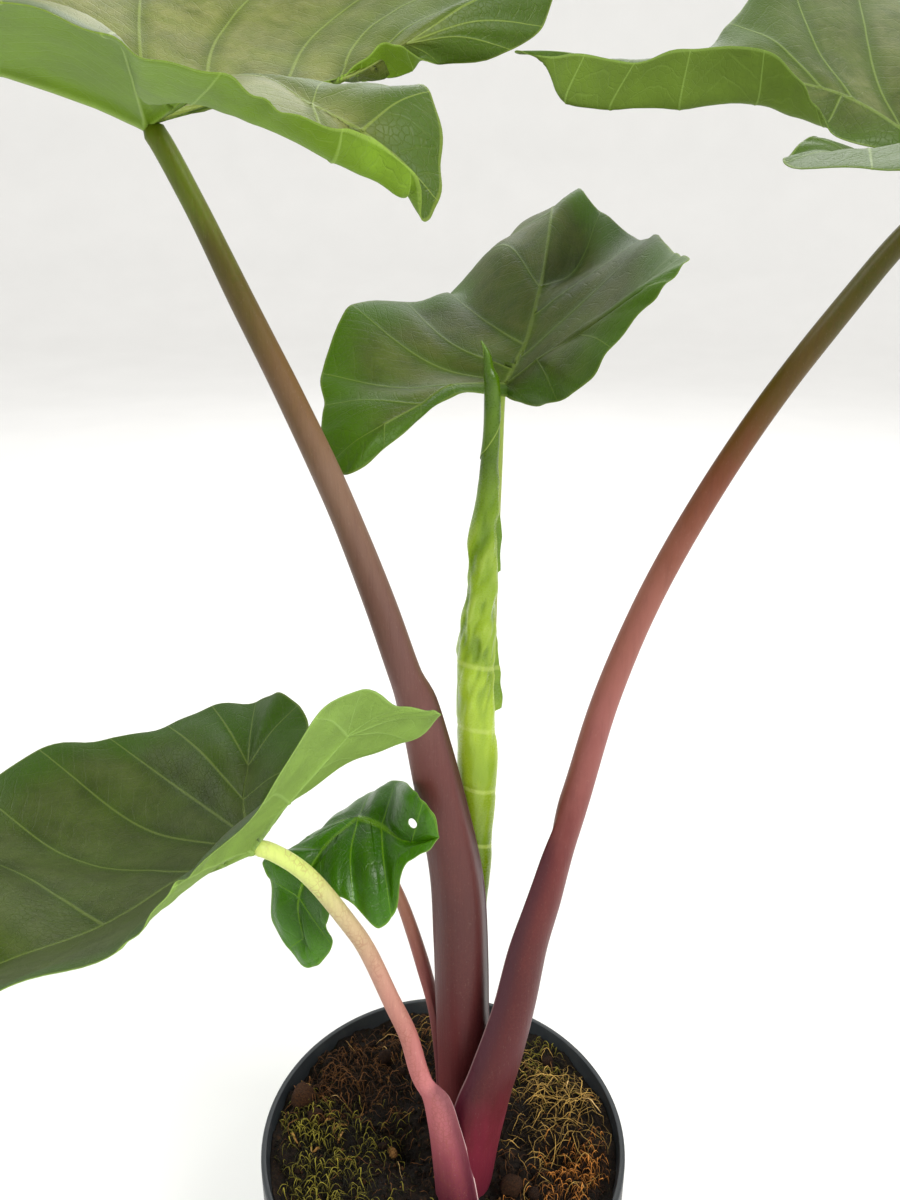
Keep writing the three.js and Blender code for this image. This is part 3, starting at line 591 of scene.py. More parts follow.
def half_sheet(blade, side):
    """A grid of points over one half of a blade, and what the finish needs to know at each point."""
    half = blade[side]
    joint = len(blade["midrib"]) - 1
    upward = unit(np.array(blade["up"], float))
    ribs = half["ribs"]
    last = len(ribs) - 1
    rows = crowded_places(last)
    stops = crowded_places(joint + len(half["vein"]))
    lobe = [blade["midrib"][joint]] + half["vein"]

    def axis(places):
        on_midrib = through(blade["midrib"], np.minimum(places, joint))
        on_lobe = through(lobe, np.maximum(places - joint, 0))
        return np.where(places[:, None] <= joint, on_midrib, on_lobe)

    starts = np.array([rib[0] for rib in ribs], float)
    margins = np.array([rib[-1] for rib in ribs], float)
    middles = []
    for rib, root in zip(ribs, axis(starts)):
        tip = np.array(rib[-1], float)
        arch = (root + tip) / 2 + BLADE["crown"] * np.linalg.norm(tip - root) * upward
        middles.append(rib[1] if len(rib) > 2 else arch)
    places = np.interp(rows, np.arange(last + 1), starts)
    places = stops[np.abs(places[:, None] - stops).argmin(axis=1)]
    across = (np.arange(ACROSS + 1) / ACROSS) ** GATHERING
    lines = np.stack([axis(places), through(middles, rows), through(margins, rows)])
    grid = through(lines, 2 * across).transpose(1, 0, 2)

    reach = np.cumsum(np.linalg.norm(np.diff(grid, axis=1, prepend=grid[:, :1]), axis=2), axis=1)
    travel = np.cumsum(np.linalg.norm(np.diff(grid, axis=0, prepend=grid[:1]), axis=2), axis=0)
    length = reach[:, -1:]
    veined = veined_ribs(margins)
    away = np.abs(travel[:, None, :] - travel[None, veined * ROWS, :])
    nearest = away.argmin(axis=1)
    away = away.min(axis=1)
    vein_length = length[veined * ROWS, 0][nearest]
    vein_width = VEINS["outer"] + VEINS["gain"] * (1 - across[None])
    vein_width = vein_width * np.clip(vein_length / VEINS["full_length"], VEINS["least"], 1)
    on_midrib = places <= joint
    lobe_share = (places - joint) / len(half["vein"])
    midrib_width = VEINS["midrib"] + VEINS["midrib_gain"] * places / joint
    lobe_width = VEINS["lobe"] - VEINS["lobe_loss"] * lobe_share
    rib_width = np.where(on_midrib, midrib_width, lobe_width)[:, None]
    midrib_ridge = BLADE["midrib_ridge"] * places / joint
    lobe_ridge = BLADE["lobe_ridge"] * (1 - 0.6 * lobe_share)
    ridge = np.where(on_midrib, midrib_ridge, lobe_ridge)
    wave = np.sin(2 * np.pi * rows) * np.minimum(1, np.minimum(rows, last - rows))
    lobe_mark = lobe_share.clip(0, 1)[:, None] * across[None] ** 0.5
    marks = {
        "vein": away / vein_width,
        "away": away,
        "reach": reach,
        "rib": reach / rib_width,
        "edge": length - reach,
        "ridge": np.broadcast_to(ridge[:, None], reach.shape),
        "vein_size": np.broadcast_to(vein_width, reach.shape),
        "wave": wave[:, None] * across[None] ** 2,
        "lobe": np.broadcast_to(lobe_mark, reach.shape),
    }
    return grid, marks


def merged_sheet(blade):
    """Both halves joined along the veins: points, faces with the upper side out, and marks."""
    points, faces, marks, start = [], [], {}, 0
    for side in ("left", "right"):
        grid, half_marks = half_sheet(blade, side)
        count, width = grid.shape[:2]
        corner = start + np.arange(count * width).reshape(count, width)
        around = [corner[:-1, :-1], corner[1:, :-1], corner[1:, 1:], corner[:-1, 1:]]
        quads = np.stack(around, axis=-1).reshape(-1, 4)
        faces.append(quads if side == "left" else quads[:, ::-1])
        points.append(grid.reshape(-1, 3))
        for key, values in half_marks.items():
            marks.setdefault(key, []).append(values.ravel())
        start += count * width
    points = np.vstack(points)
    microns = np.round(points * 1e3).astype(int)
    _, first, joined = np.unique(microns, axis=0, return_index=True, return_inverse=True)
    joined = joined.ravel()
    marks = {key: np.concatenate(values)[first] for key, values in marks.items()}
    clean = []
    for face in joined[np.vstack(faces)]:
        corners = [int(v) for i, v in enumerate(face) if v != face[i - 1]]
        if len(set(corners)) > 2:
            clean.append(corners)
    points = points[first]
    if (normals_of(points, clean).sum(axis=0) @ np.array(blade["up"])) < 0:
        clean = [corners[::-1] for corners in clean]
    return points, clean, marks


def normals_of(points, faces):
    """The sheet's normal at each point."""
    total = np.zeros_like(points)
    for size in (3, 4):
        some = np.array([face for face in faces if len(face) == size])
        if not len(some):
            continue
        corners = points[some]
        area = np.cross(corners[:, 2] - corners[:, 0], corners[:, -1] - corners[:, 1])
        for i in range(size):
            np.add.at(total, some[:, i], area)
    return unit(total)


def open_edges(faces):
    """Edges with a face on one side only, in the face's direction."""
    used = {(face[i - 1], face[i]) for face in faces for i in range(len(face))}
    return [edge for edge in used if edge[::-1] not in used]


def noise_at(points, size, seed=0.0, octaves=2):
    """Soft noise from about -1 to 1 with lumps of the given size."""
    offset = Vector((seed, seed * 1.7, -seed))
    return np.array([noise.fractal(Vector(p) / size + offset, 0.6, 2.0, octaves) for p in points])


def blade_mesh(name, blade, hole=None):
    """The leaf as a thin closed skin, with raised veins and a wavy margin. Only the young leaf has a hole."""
    points, faces, marks = merged_sheet(blade)
    normals = normals_of(points, faces)
    points = points + normals * (BLADE["ruffle"] * marks["wave"])[:, None]
    normals = normals_of(points, faces)
    if hole:
        points, faces = punched(points, faces, *hole)
    quilt, calm_border = (BLADE["young_quilt"], 5) if hole else (BLADE["quilt"], 9)
    calm = np.clip(np.minimum(marks["edge"], marks["reach"]) / calm_border, 0, 1)
    bulge = quilt * (1 - np.exp(-((marks["away"] / BLADE["panel"]) ** 2))) * calm
    slow = noise_at(points, BLADE["warp_length"], seed=len(points) % 17)
    bulge += BLADE["warp"] * slow * np.clip(marks["edge"] / 12, 0.2, 1)
    points = points + normals * bulge[:, None]
    side_veins = np.exp(-(marks["vein"] ** 2)) * marks["vein_size"]
    main_veins = np.exp(-(marks["rib"] ** 2)) * marks["ridge"]
    upper = BLADE["half"] + VEINS["side_above"] * side_veins + VEINS["main_above"] * main_veins
    lower = BLADE["half"] + VEINS["side_below"] * side_veins + main_veins
    thin = np.clip(marks["edge"] / BLADE["thin_edge"], 0.45, 1)
    top = points + normals * (upper * thin)[:, None]
    bottom = points - normals * (lower * thin)[:, None]
    rim = open_edges(faces)
    count = len(points)
    outward = np.zeros_like(points)
    for a, b in rim:
        side = np.cross(unit(points[b] - points[a]), normals[a])
        outward[a] += side
        outward[b] += side
    at_rim = sorted({i for edge in rim for i in edge})
    middle = {i: 2 * count + n for n, i in enumerate(at_rim)}
    bead = points[at_rim] + unit(outward[at_rim]) * BLADE["bead"]

    def on_all(values):
        """Values of the sheet's points, repeated for the top, the bottom and the rim."""
        return np.concatenate([values, values, values[at_rim]])

    waves = noise_at(on_all(points), BLADE["scallop_length"], seed=2.3, octaves=1)
    waves *= on_all(marks["edge"]) < 0.01
    shift = unit(on_all(outward)) * (BLADE["scallop"] * waves)[:, None]
    all_points = np.vstack([top, bottom, bead]) + shift
    all_points = np.clip(all_points, *(np.array(corner) / MM for corner in cad_box))
    all_faces = [tuple(face) for face in faces]
    all_faces += [tuple(i + count for i in face[::-1]) for face in faces]
    for a, b in rim:
        all_faces.append((b, a, middle[a], middle[b]))
        all_faces.append((middle[b], middle[a], a + count, b + count))
    kept = {key: on_all(marks[key]) for key in ("vein", "away", "reach", "rib", "edge", "lobe")}
    kept["under"] = np.concatenate([np.zeros(count), np.ones(count), np.full(len(at_rim), 0.5)])
    used = sorted({i for face in all_faces for i in face})
    renumber = {old: new for new, old in enumerate(used)}
    all_faces = [tuple(renumber[i] for i in face) for face in all_faces]
    kept = {key: values[used] for key, values in kept.items()}
    return mesh_object(name, all_points[used], all_faces, kept)


def punched(points, faces, centre, radius):
    """Cuts a round hole: what lies inside goes, and the points next to it move onto its rim."""
    away = points - np.array(centre, float)
    distance = np.linalg.norm(away, axis=1)
    inside = distance < radius
    kept = [face for face in faces if not all(inside[i] for i in face)]
    points = points.copy()
    points[inside] = np.array(centre, float) + unit(away[inside]) * radius
    return points, kept


# Stalks

STALK_STEP = 3.2  # distance between rings
REAR = 24  # strips round the back of the outline
FRONT = 30  # strips over its wings and its groove
END = {"below": 0.5, "radius": 0.45}  # depth under the joint, and share of the last radius
WING = {
    "reach": 0.55,  # the tip's place, as shares of the half width
    "tip": 0.97,
    "width": 0.8,  # the groove's shares of the half width and depth
    "depth": 0.4,
    "foot": np.pi / 8,  # the part of a half turn that goes into each side of a wing
    "coloured": 12,  # how far the wing's own colour runs from its tip
}


def stalk_outline(across, deep, sheath):
    """The outline of a stalk, round or with two thin wings beside a hollow groove."""
    turn = np.pi * (np.arange(REAR + 1) / REAR - 0.5)
    rear = np.stack([across * np.sin(turn), -deep * np.cos(turn)], axis=1)
    turn = np.pi * np.arange(1, FRONT) / FRONT
    full = np.stack([across * np.cos(turn), deep * np.sin(turn)], axis=1)
    hollow = full * (WING["width"], -WING["depth"])
    from_side = np.minimum(turn, np.pi - turn)[:, None] / WING["foot"]
    side = np.sign(full[:, :1] + 1e-9)
    height = np.full_like(side, WING["reach"] * across)
    tip = np.concatenate([side * WING["tip"] * across, height], axis=1)
    root = np.concatenate([side * across, np.zeros_like(side)], axis=1)
    outside = root + (tip - root) * np.clip(from_side * 2, 0, 1)
    inside = tip + (hollow - tip) * np.clip(from_side - 1, 0, 1)
    opened = np.where(from_side < 1, outside, inside)
    return np.vstack([rear, full + (opened - full) * sheath])


def stalk_mesh(name, stalk, blade):
    """A stalk as a closed skin from its foot in the soil to its end in the blade's joint."""
    stations = list(stalk["stations"])
    upward = unit(np.array(blade["up"], float))
    root = np.array(blade["midrib"][-1], float) - upward * END["below"]
    end_radius = stations[-1][1] * END["radius"]
    stations.append((tuple(root), end_radius, end_radius, 0))
    centres = np.array([s[0] for s in stations], float)
    last = len(stations) - 1
    fine = through(centres, np.linspace(0, last, 40 * last + 1))
    travel = np.concatenate([[0], np.cumsum(np.linalg.norm(np.diff(fine, axis=0), axis=1))])
    count = int(travel[-1] / STALK_STEP)
    fine_places = np.linspace(0, last, len(travel))
    places = np.interp(np.linspace(0, travel[-1], count + 1), travel, fine_places)
    path = through(centres, places)
    ahead = through(centres, np.minimum(places + 0.02, last))
    behind = through(centres, np.maximum(places - 0.02, 0))
    along = unit(ahead - behind)
    groove = np.array(stalk["groove"], float)
    facing = unit(groove - (along @ groove)[:, None] * along)
    side = np.cross(facing, along)
    sizes = np.array([s[1:] for s in stations], float)
    rings, marks = [], {"along": [], "wing": [], "inside": []}
    for i, (across, deep, sheath) in enumerate(through(sizes, places)):
        sheath = min(max(sheath, 0), 1)
        outline = stalk_outline(across, deep, sheath)
        sides = len(outline)
        swell = 1 + 0.02 * noise.noise(Vector(path[i]) / 30)
        rings.append(path[i] + swell * (outline[:, :1] * side[i] + outline[:, 1:] * facing[i]))
        marks["along"] += [i / count] * sides
        tips = np.array([[x * WING["tip"] * across, WING["reach"] * across] for x in (-1, 1)])
        near = np.linalg.norm(outline[:, None] - tips, axis=2).min(axis=1)
        marks["wing"] += list(np.clip(1 - near / WING["coloured"], 0, 1) * min(1, 2 * sheath))
        step = np.arange(sides)
        # The groove's inner face, which the finish darkens as painted shade.
        marks["inside"] += list((step > REAR + 4) * (step < REAR + FRONT - 4) * sheath)
    rings = np.array(rings)
    points, faces = closed_skin(rings, rings[0].mean(axis=0), rings[-1].mean(axis=0))
    marks = {key: values + [values[0], values[-1]] for key, values in marks.items()}
    return mesh_object(name, points, faces, marks)


# Rolled leaf

EDGE_HEIGHTS = (100, 500, 515, 526, 545, 557)  # where the free edge of the roll stands
EDGE_TURNS = (-0.6, -0.35, 4.1, 5.95, 8.2, 11)  # and the direction that it faces there, in radians
WRINKLED_HEIGHTS = (380, 400, 425, 486, 505, 525)
WRINKLED = (0.15, 0.5, 1, 1, 0.5, 0.1)  # how wrinkled the roll is at those heights
FLAPS = (  # loose bits of margin on the right: lower end, peak, upper end and how far they stand out
    (463, 478, 491, 2.6),
    (397, 404, 440, 4.4),
)
FOLDS = {  # the side veins that show as creases round the roll
    "one": 389,  # height of one of them
    "gap": 31,  # height from one to the next
    "lowest": 325,
    "highest": 419,
    "tilt": 2.5,
    "none": 9,  # the distance that is written where no crease is near
}


def rolled_leaf_mesh(rings=330, sides=120):
    """The leaf's roll as a closed skin with one free edge, wrinkles, creases and two loose flaps."""
    stations = ROLLED_LEAF["stations"]
    last = len(stations) - 1
    places = np.linspace(0, last, rings + 1)
    path = through([s[0] for s in stations], places)
    radii = through([[s[1], 0, 0] for s in stations], places)[:, 0]
    height = path[:, 2]
    wound = np.arange(sides + 1) / sides
    turn = 2 * np.pi * wound[None] + np.interp(height, EDGE_HEIGHTS, EDGE_TURNS)[:, None]
    radius = radii[:, None] * (1 + ROLLED_LEAF["step"] * (wound[None] - 0.5))
    flat = np.stack([np.cos(turn), np.sin(turn), np.zeros_like(turn)], axis=-1)
    grid = path[:, None] + flat * radius[..., None]
    shape = grid.shape[:2]

    fat = np.clip((radii - 4.6) / 3, 0, 1)[:, None]  # 0 on the thin ends of the roll
    level = height[:, None] + FOLDS["tilt"] * np.sin(turn + 0.8)
    step = (level - FOLDS["one"]) / FOLDS["gap"] + 0.5
    fold = np.abs(step - np.floor(step) - 0.5) * FOLDS["gap"]
    creased = (level > FOLDS["lowest"] - 6) & (level < FOLDS["highest"] + 6)
    fold = np.where(creased, fold, FOLDS["none"])

    corners = grid.reshape(-1, 3)
    slanted = corners * (1.0, 1.0, 0.5) + corners[:, [2, 2, 0]] * (0, 0, -0.7)
    ridges = noise_at(slanted, 6.0, seed=5, octaves=1).reshape(shape)
    puckers = noise_at(slanted, 3.0, seed=3, octaves=1).reshape(shape)
    wrinkled = np.interp(height, WRINKLED_HEIGHTS, WRINKLED)[:, None]
    wrinkled = wrinkled * np.clip((radii - 2) / 5, 0, 1)[:, None]
    swell = (2.2 * ridges + 0.6 * puckers - 0.4) * wrinkled
    swell -= 0.5 * np.exp(-((fold / 2.0) ** 2)) * fat
    swell += 0.45 * np.exp(-((fold / 0.7) ** 2)) * fat

    aside = (turn + np.pi) % (2 * np.pi) - np.pi  # turn away from the right
    loose = np.zeros(shape)
    for low, peak, high, reach in FLAPS:
        rise = np.interp(height, (low - 0.8, low, peak, high), (0, 0.75, 1, 0))[:, None] ** 0.8
        swell = swell + reach * rise * np.exp(-((aside / 0.13) ** 2))
        loose = np.maximum(loose, rise * np.exp(-((aside / 0.3) ** 2)))
    grid = grid + flat * swell[..., None]
    points, faces = closed_skin(grid, path[0], path[-1])
    marks = {
        "along": np.append(np.repeat(places / last, sides + 1), [0, 1]),
        "wound": np.append(np.tile(wound, rings + 1), [0, 0]),
        "pucker": np.append((ridges + 0.4 * puckers).ravel(), [0, 0]),
        "loose": np.append(loose.ravel(), [0, 0]),
        "dimpled": np.append(np.broadcast_to(wrinkled, shape).ravel(), [0, 0]),
        "fold": np.append(np.where(fat > 0.1, fold, FOLDS["none"]).ravel(), [FOLDS["none"]] * 2),
    }
    return mesh_object("rolled_leaf_skin", points, faces, marks)


# Pot


def circle_points(sides):
    """Points on a circle of radius 1, as rows of x and y."""
    turn = np.linspace(0, 2 * np.pi, sides, endpoint=False)
    return np.stack([np.cos(turn), np.sin(turn)], axis=1)


def level_ring(circle, radius, z):
    return np.column_stack([radius * circle, np.full(len(circle), z)])


def pot_radius(z):
    """The outer radius of the tapered wall at a height."""
    return POT["base"] + (POT["rim"] - POT["step"] - POT["base"]) * z / POT["height"]


def pot_profile():
    """Radius and height round the wall's section, from under the floor to the floor's top."""
    foot = POT["height"] - POT["band"]
    base, rim, top, floor = POT["base"], POT["rim"], POT["height"], POT["floor"]

    def inner(z):
        return pot_radius(z) - POT["wall"]

    profile = [(30, 0), (base - 4, 0), (base - 1.5, 0), (base - 0.4, 0.4), (base, 1.5)]
    profile += [(pot_radius(z), z) for z in np.linspace(4, foot - 1, 24)]
    profile += [(pot_radius(foot), foot), (rim - 1, foot + 0.8), (rim - 0.3, foot + 1.2), (rim, foot + 2)]
    profile += [(rim, z) for z in np.linspace(foot + 4, top - 2, 6)]
    profile += [(rim - 0.1, top - 0.7), (rim - 0.4, top - 0.2), (rim - 0.8, top), (rim - 2.2, top)]
    profile += [(rim - 2.7, top - 0.2), (rim - 3, top - 1), (inner(foot) + 2.2, foot + 3.5)]
    profile += [(inner(foot), foot)]
    profile += [(inner(z), z) for z in np.linspace(foot - 2, floor, 20)]
    profile += [(40, floor)]
    return profile


def pot_mesh(sides=144):
    """The pot's wall and floor as one closed skin, with the drain holes cut through."""
    circle = circle_points(sides)
    rings = [level_ring(circle, radius, z) for radius, z in pot_profile()]
    points, faces = closed_skin(np.array(rings), (0, 0, 0), (0, 0, POT["floor"]))
    pot = mesh_object("pot_shell", points, faces)
    drills = Heap()
    for i in range(HOLES["count"]):
        angle = 2 * np.pi * (i + 0.5) / HOLES["count"]
        x, y = HOLES["circle"] * np.cos(angle), HOLES["circle"] * np.sin(angle)
        drills.add(*tube([(x, y, -5), (x, y, 10)], HOLES["radius"], 32))
    drill = drills.made("drill")
    cut = pot.modifiers.new("holes", "BOOLEAN")
    cut.operation = "DIFFERENCE"
    cut.solver = "EXACT"
    cut.object = drill
    bpy.context.view_layer.update()
    drilled = pot.evaluated_get(bpy.context.evaluated_depsgraph_get())
    whole = bpy.data.meshes.new_from_object(drilled)
    pot.modifiers.clear()
    pot.data = whole
    bpy.data.objects.remove(drill)
    whole.polygons.foreach_set("use_smooth", [True] * len(whole.polygons))
    whole.set_sharp_from_angle(angle=math.radians(40))
    return pot


# Soil

PITS = (  # middle, radius and depth
    (-20, -4, 10, 7), (56, -9, 9, 6), (-46, 26, 9, 4), (44, 40, 8, 4), (30, -48, 12, 4),
)
COARSE = {"height": 2.4, "size": 9}  # unevenness of the ground
GRAINY = {"height": 1.4, "size": 3.1}
SUNK = 1.4  # brings the uneven ground back to the soil's level
REACH = {"crumbs": 88, "strand_feet": 86, "strands": 89}  # how far from the pot's axis they lie


def soil_height(x, y):
    """Height of the smooth soil at a point, as in the solid."""
    lumps = np.sin(x / 13 + 1.2) * np.cos(y / 11 - 0.6) + 0.6 * np.sin((x + 1.7 * y) / 8.5)
    away = np.hypot(x - SOIL["dip_centre"][0], y - SOIL["dip_centre"][1]) / SOIL["dip_radius"]
    return SOIL["level"] + SOIL["lump"] / 1.6 * lumps - SOIL["dip"] * np.exp(-(away**2))


def ground(x, y):
    """Height of the finished soil at a point."""
    spot = Vector((x, y, 0))
    coarse = COARSE["height"] * noise.fractal(spot / COARSE["size"], 0.7, 2.1, 4)
    grainy = GRAINY["height"] * abs(noise.noise(spot / GRAINY["size"]))
    pits = 0
    for a, b, radius, depth in PITS:
        pits += depth * math.exp(-(((x - a) ** 2 + (y - b) ** 2) / radius**2))
    return float(soil_height(x, y)) + (coarse + grainy) - SUNK - pits


def soil_mesh(rings=84, sides=300):
    """The soil as a closed skin that stands a little clear of the pot's wall and floor."""
    foot = POT["floor"] + 0.4
    band = POT["height"] - POT["band"]
    rim = POT["rim"] - 4.2
    circle = circle_points(sides)
    loops = [level_ring(circle, pot_radius(z) - POT["wall"] - 0.6, z) for z in (foot, band)]
    for radius in np.linspace(rim, rim / rings, rings):
        flat = radius * circle
        loops.append(np.column_stack([flat, [ground(x, y) for x, y in flat]]))
    points, faces = closed_skin(np.array(loops), (0, 0, foot), (0, 0, ground(0, 0)))
    return mesh_object("soil_bed", points, faces)


def ball():
    """A ball of twenty triangles: a point on top, two rings of five points and a point below."""
    points = [(0, 0, 1)]
    for first, z in ((0, 0.447), (36, -0.447)):
        for i in range(5):
            angle = math.radians(first + 72 * i)
            points.append((round(0.8944 * math.cos(angle), 3), round(0.8944 * math.sin(angle), 3), z))
    points.append((0, 0, -1))
    pairs = [(i, (i + 1) % 5) for i in range(5)]
    faces = [(0, 1 + i, 1 + j) for i, j in pairs] + [(1 + i, 6 + i, 1 + j) for i, j in pairs]
    faces += [(6 + i, 6 + j, 1 + j) for i, j in pairs] + [(6 + i, 11, 6 + j) for i, j in pairs]
    return np.array(points), faces


def split_lump(points, faces):
    """Each triangle in four, with the new points on the ball."""
    points = [tuple(p) for p in points]
    halves = {}

    def half(a, b):
        key = (min(a, b), max(a, b))
        if key not in halves:
            halves[key] = len(points)
            points.append(tuple(unit(np.array(points[a]) + np.array(points[b]))))
        return halves[key]

    split = []
    for a, b, c in faces:
        ab, bc, ca = half(a, b), half(b, c), half(c, a)
        split += [(a, ab, ca), (b, bc, ab), (c, ca, bc), (ab, bc, ca)]
    return np.array(points), split


PLAIN_LUMP = ball()
FINE_LUMP = split_lump(*PLAIN_LUMP)


def lump(centre, size, rough, fine):
    """An uneven crumb about a centre."""
    points, faces = FINE_LUMP if fine else PLAIN_LUMP
    spin = chance.uniform(0, 2 * math.pi)
    stretch = np.array([chance.uniform(0.7, 1.3) for _ in range(3)])
    bumps = []
    for point in points:
        smooth = rough * noise.noise(Vector(point) * 1.7 + Vector(centre))
        bumps.append(1 + smooth + chance.uniform(-1, 1) * rough / 4)
    shaped = points * np.array(bumps)[:, None] * stretch * size
    c, s = math.cos(spin), math.sin(spin)
    turned = shaped @ np.array([[c, s, 0], [-s, c, 0], [0, 0, 1]])
    return turned + np.array(centre), faces


def spot_on_soil(reach):
    """A chance point on the soil, within a reach of the pot's axis."""
    while True:
        x, y = chance.uniform(-reach, reach), chance.uniform(-reach, reach)
        if math.hypot(x, y) < reach:
            return x, y


CLUMPS = (  # balls of peat: place, size and tint
    (-78, 24, 6.2, 0.66), (-70, 13, 3.4, 0.5), (35, -24, 6.6, 0.55), (46, -30, 3.6, 0.4),
    (-27, -3, 2.4, 1.0), (60, 50, 3.6, 0.4), (-34, 52, 3.8, 0.4), (10, -56, 4.4, 0.5),
)


def crumbs_mesh(count=1500):
    """The balls of peat and many chance crumbs. A high tint is pale."""
    heap = Heap()
    for x, y, size, tint in CLUMPS:
        points, faces = lump((x, y, ground(x, y) + 0.5 * size), size, rough=0.42, fine=True)
        heap.add(points, faces, tint)
    for _ in range(count):
        x, y = spot_on_soil(REACH["crumbs"])
        size = chance.uniform(0.4, 1.2) if chance.random() < 0.95 else chance.uniform(1.2, 2.4)
        tint = chance.random() ** 1.5 / max(1, size)
        heap.add(*lump((x, y, ground(x, y) + 0.2 * size), size, rough=0.7, fine=size > 1.2), tint=tint)
    return heap.made("soil_crumbs")


def strand(start, length, heading, wander, lift, radius, sides=3, steps=8):
    """A thin fibre that wanders over the soil."""
    x, y = start
    path = []
    for i in range(steps):
        share = i / (steps - 1)
        rise = lift * math.sin(math.pi * share) + radius * 0.6
        path.append((x, y, ground(x, y) + rise))
        heading += chance.uniform(-wander, wander)
        x += length / steps * math.cos(heading)
        y += length / steps * math.sin(heading)
        if math.hypot(x, y) > REACH["strands"]:
            x, y = x * 0.97, y * 0.97
    radii = np.array([radius * (1 - 0.5 * abs(2 * i / (steps - 1) - 1)) for i in range(steps)])
    return tube(path, radii, sides)


def fibres_mesh(name, groups):
    """Strands in patches: centre, spread, count, length, wander, lift and thickness."""
    heap = Heap()
    for centre, spread, count, length, wander, lift, radius in groups:
        for _ in range(count):
            x = chance.gauss(centre[0], spread)
            y = chance.gauss(centre[1], spread)
            if math.hypot(x, y) > REACH["strand_feet"]:
                continue
            rise = chance.random() ** 1.6
            bit = strand((x, y), length * chance.uniform(0.5, 1.2), chance.uniform(0, 6.28), wander,
                         lift * (0.05 + 1.2 * rise), radius * chance.uniform(0.6, 1.2))
            # Strands that rise higher get paler tints and those lying on the ground darker ones: painted
            # shade near the ground, mixed with random tone.
            heap.add(*bit, tint=(0.7 * rise + 0.3 * chance.random()) ** 1.5)
    return heap.made(name)


# Finishes


def pot_finish():
    f = Finish("satin_black_plastic")
    haze = f.speckle(26, detail=4, rough=0.6)
    grain = f.speckle(0.9, detail=3, rough=0.6)
    scratches = f.speckle(7, detail=3, stretch=(0.25, 0.25, 3.0), warp=0.4)
    dust = (haze * 0.6 + grain * 0.4).rise(0.48, 0.72)
    base = f.blend((25, 29, 32), (44, 50, 55), haze)
    base = f.blend(base, (74, 68, 60), dust * 0.35)
    rough = 0.36 + haze * 0.2 + scratches.rise(0.5, 0.7) * 0.12
    return f.skin(base, rough, f.relief(grain * 0.6 + scratches * 0.4, 0.12), Specular_IOR_Level=0.5)


def soil_finish():
    f = Finish("moist_peat")
    patches = f.speckle(17, detail=4, rough=0.6)
    crumbs = f.speckle(2.4, detail=5, rough=0.7, warp=0.5)
    fibres = f.speckle(3.2, detail=4, rough=0.7, stretch=(0.4, 2.2, 1), warp=1.4)
    base = f.ramp(crumbs, [(0.3, (8, 5, 3)), (0.5, (24, 15, 9)), (0.68, (50, 33, 18)), (0.85, (96, 68, 38))])
    base = f.blend(base, (14, 9, 5), patches.rise(0.4, 0.62) * 0.7)
    base = f.blend(base, (126, 92, 50), fibres.rise(0.68, 0.78) * 0.5)
    return f.skin(base, 0.78 + crumbs * 0.2, f.relief(crumbs + fibres * 0.5, 1.1), Specular_IOR_Level=0.25)


def crumb_finish():
    f = Finish("peat_crumbs")
    tint = f.mark("tint")
    grain = f.speckle(0.9, detail=4, rough=0.7)
    base = f.ramp(tint, [(0.0, (10, 6, 4)), (0.45, (46, 27, 15)), (0.8, (78, 48, 24)), (1.0, (150, 108, 60))])
    base = f.blend(base, (14, 9, 6), grain.rise(0.42, 0.6) * 0.6)
    return f.skin(base, 0.8 + grain * 0.15, f.relief(grain, 1.2), Specular_IOR_Level=0.2)


def fibre_finish(name, dark, light):
    f = Finish(name)
    tint = f.mark("tint")
    grain = f.speckle(1.1, detail=3, rough=0.6)
    # The tint runs from the dark to the light colour; in the strands it partly carries painted shade near the
    # ground.
    base = f.blend(dark, light, (tint * 0.9 + (grain - 0.5) * 0.5).rise(0.15, 0.85))
    return f.skin(base, 0.6 + grain * 0.2, f.relief(grain, 0.3), Specular_IOR_Level=0.25)


def rhizome_finish():
    f = Finish("rhizome_skin")
    bark = f.speckle(3.5, detail=5, rough=0.65, stretch=(1, 1, 2.2))
    patches = f.speckle(14, detail=3)
    base = f.ramp(bark, [(0.3, (52, 36, 26)), (0.55, (104, 78, 54)), (0.8, (150, 118, 84))])
    base = f.blend(base, (80, 58, 42), patches)
    return f.skin(base, 0.75 + bark * 0.2, f.relief(bark, 0.8))


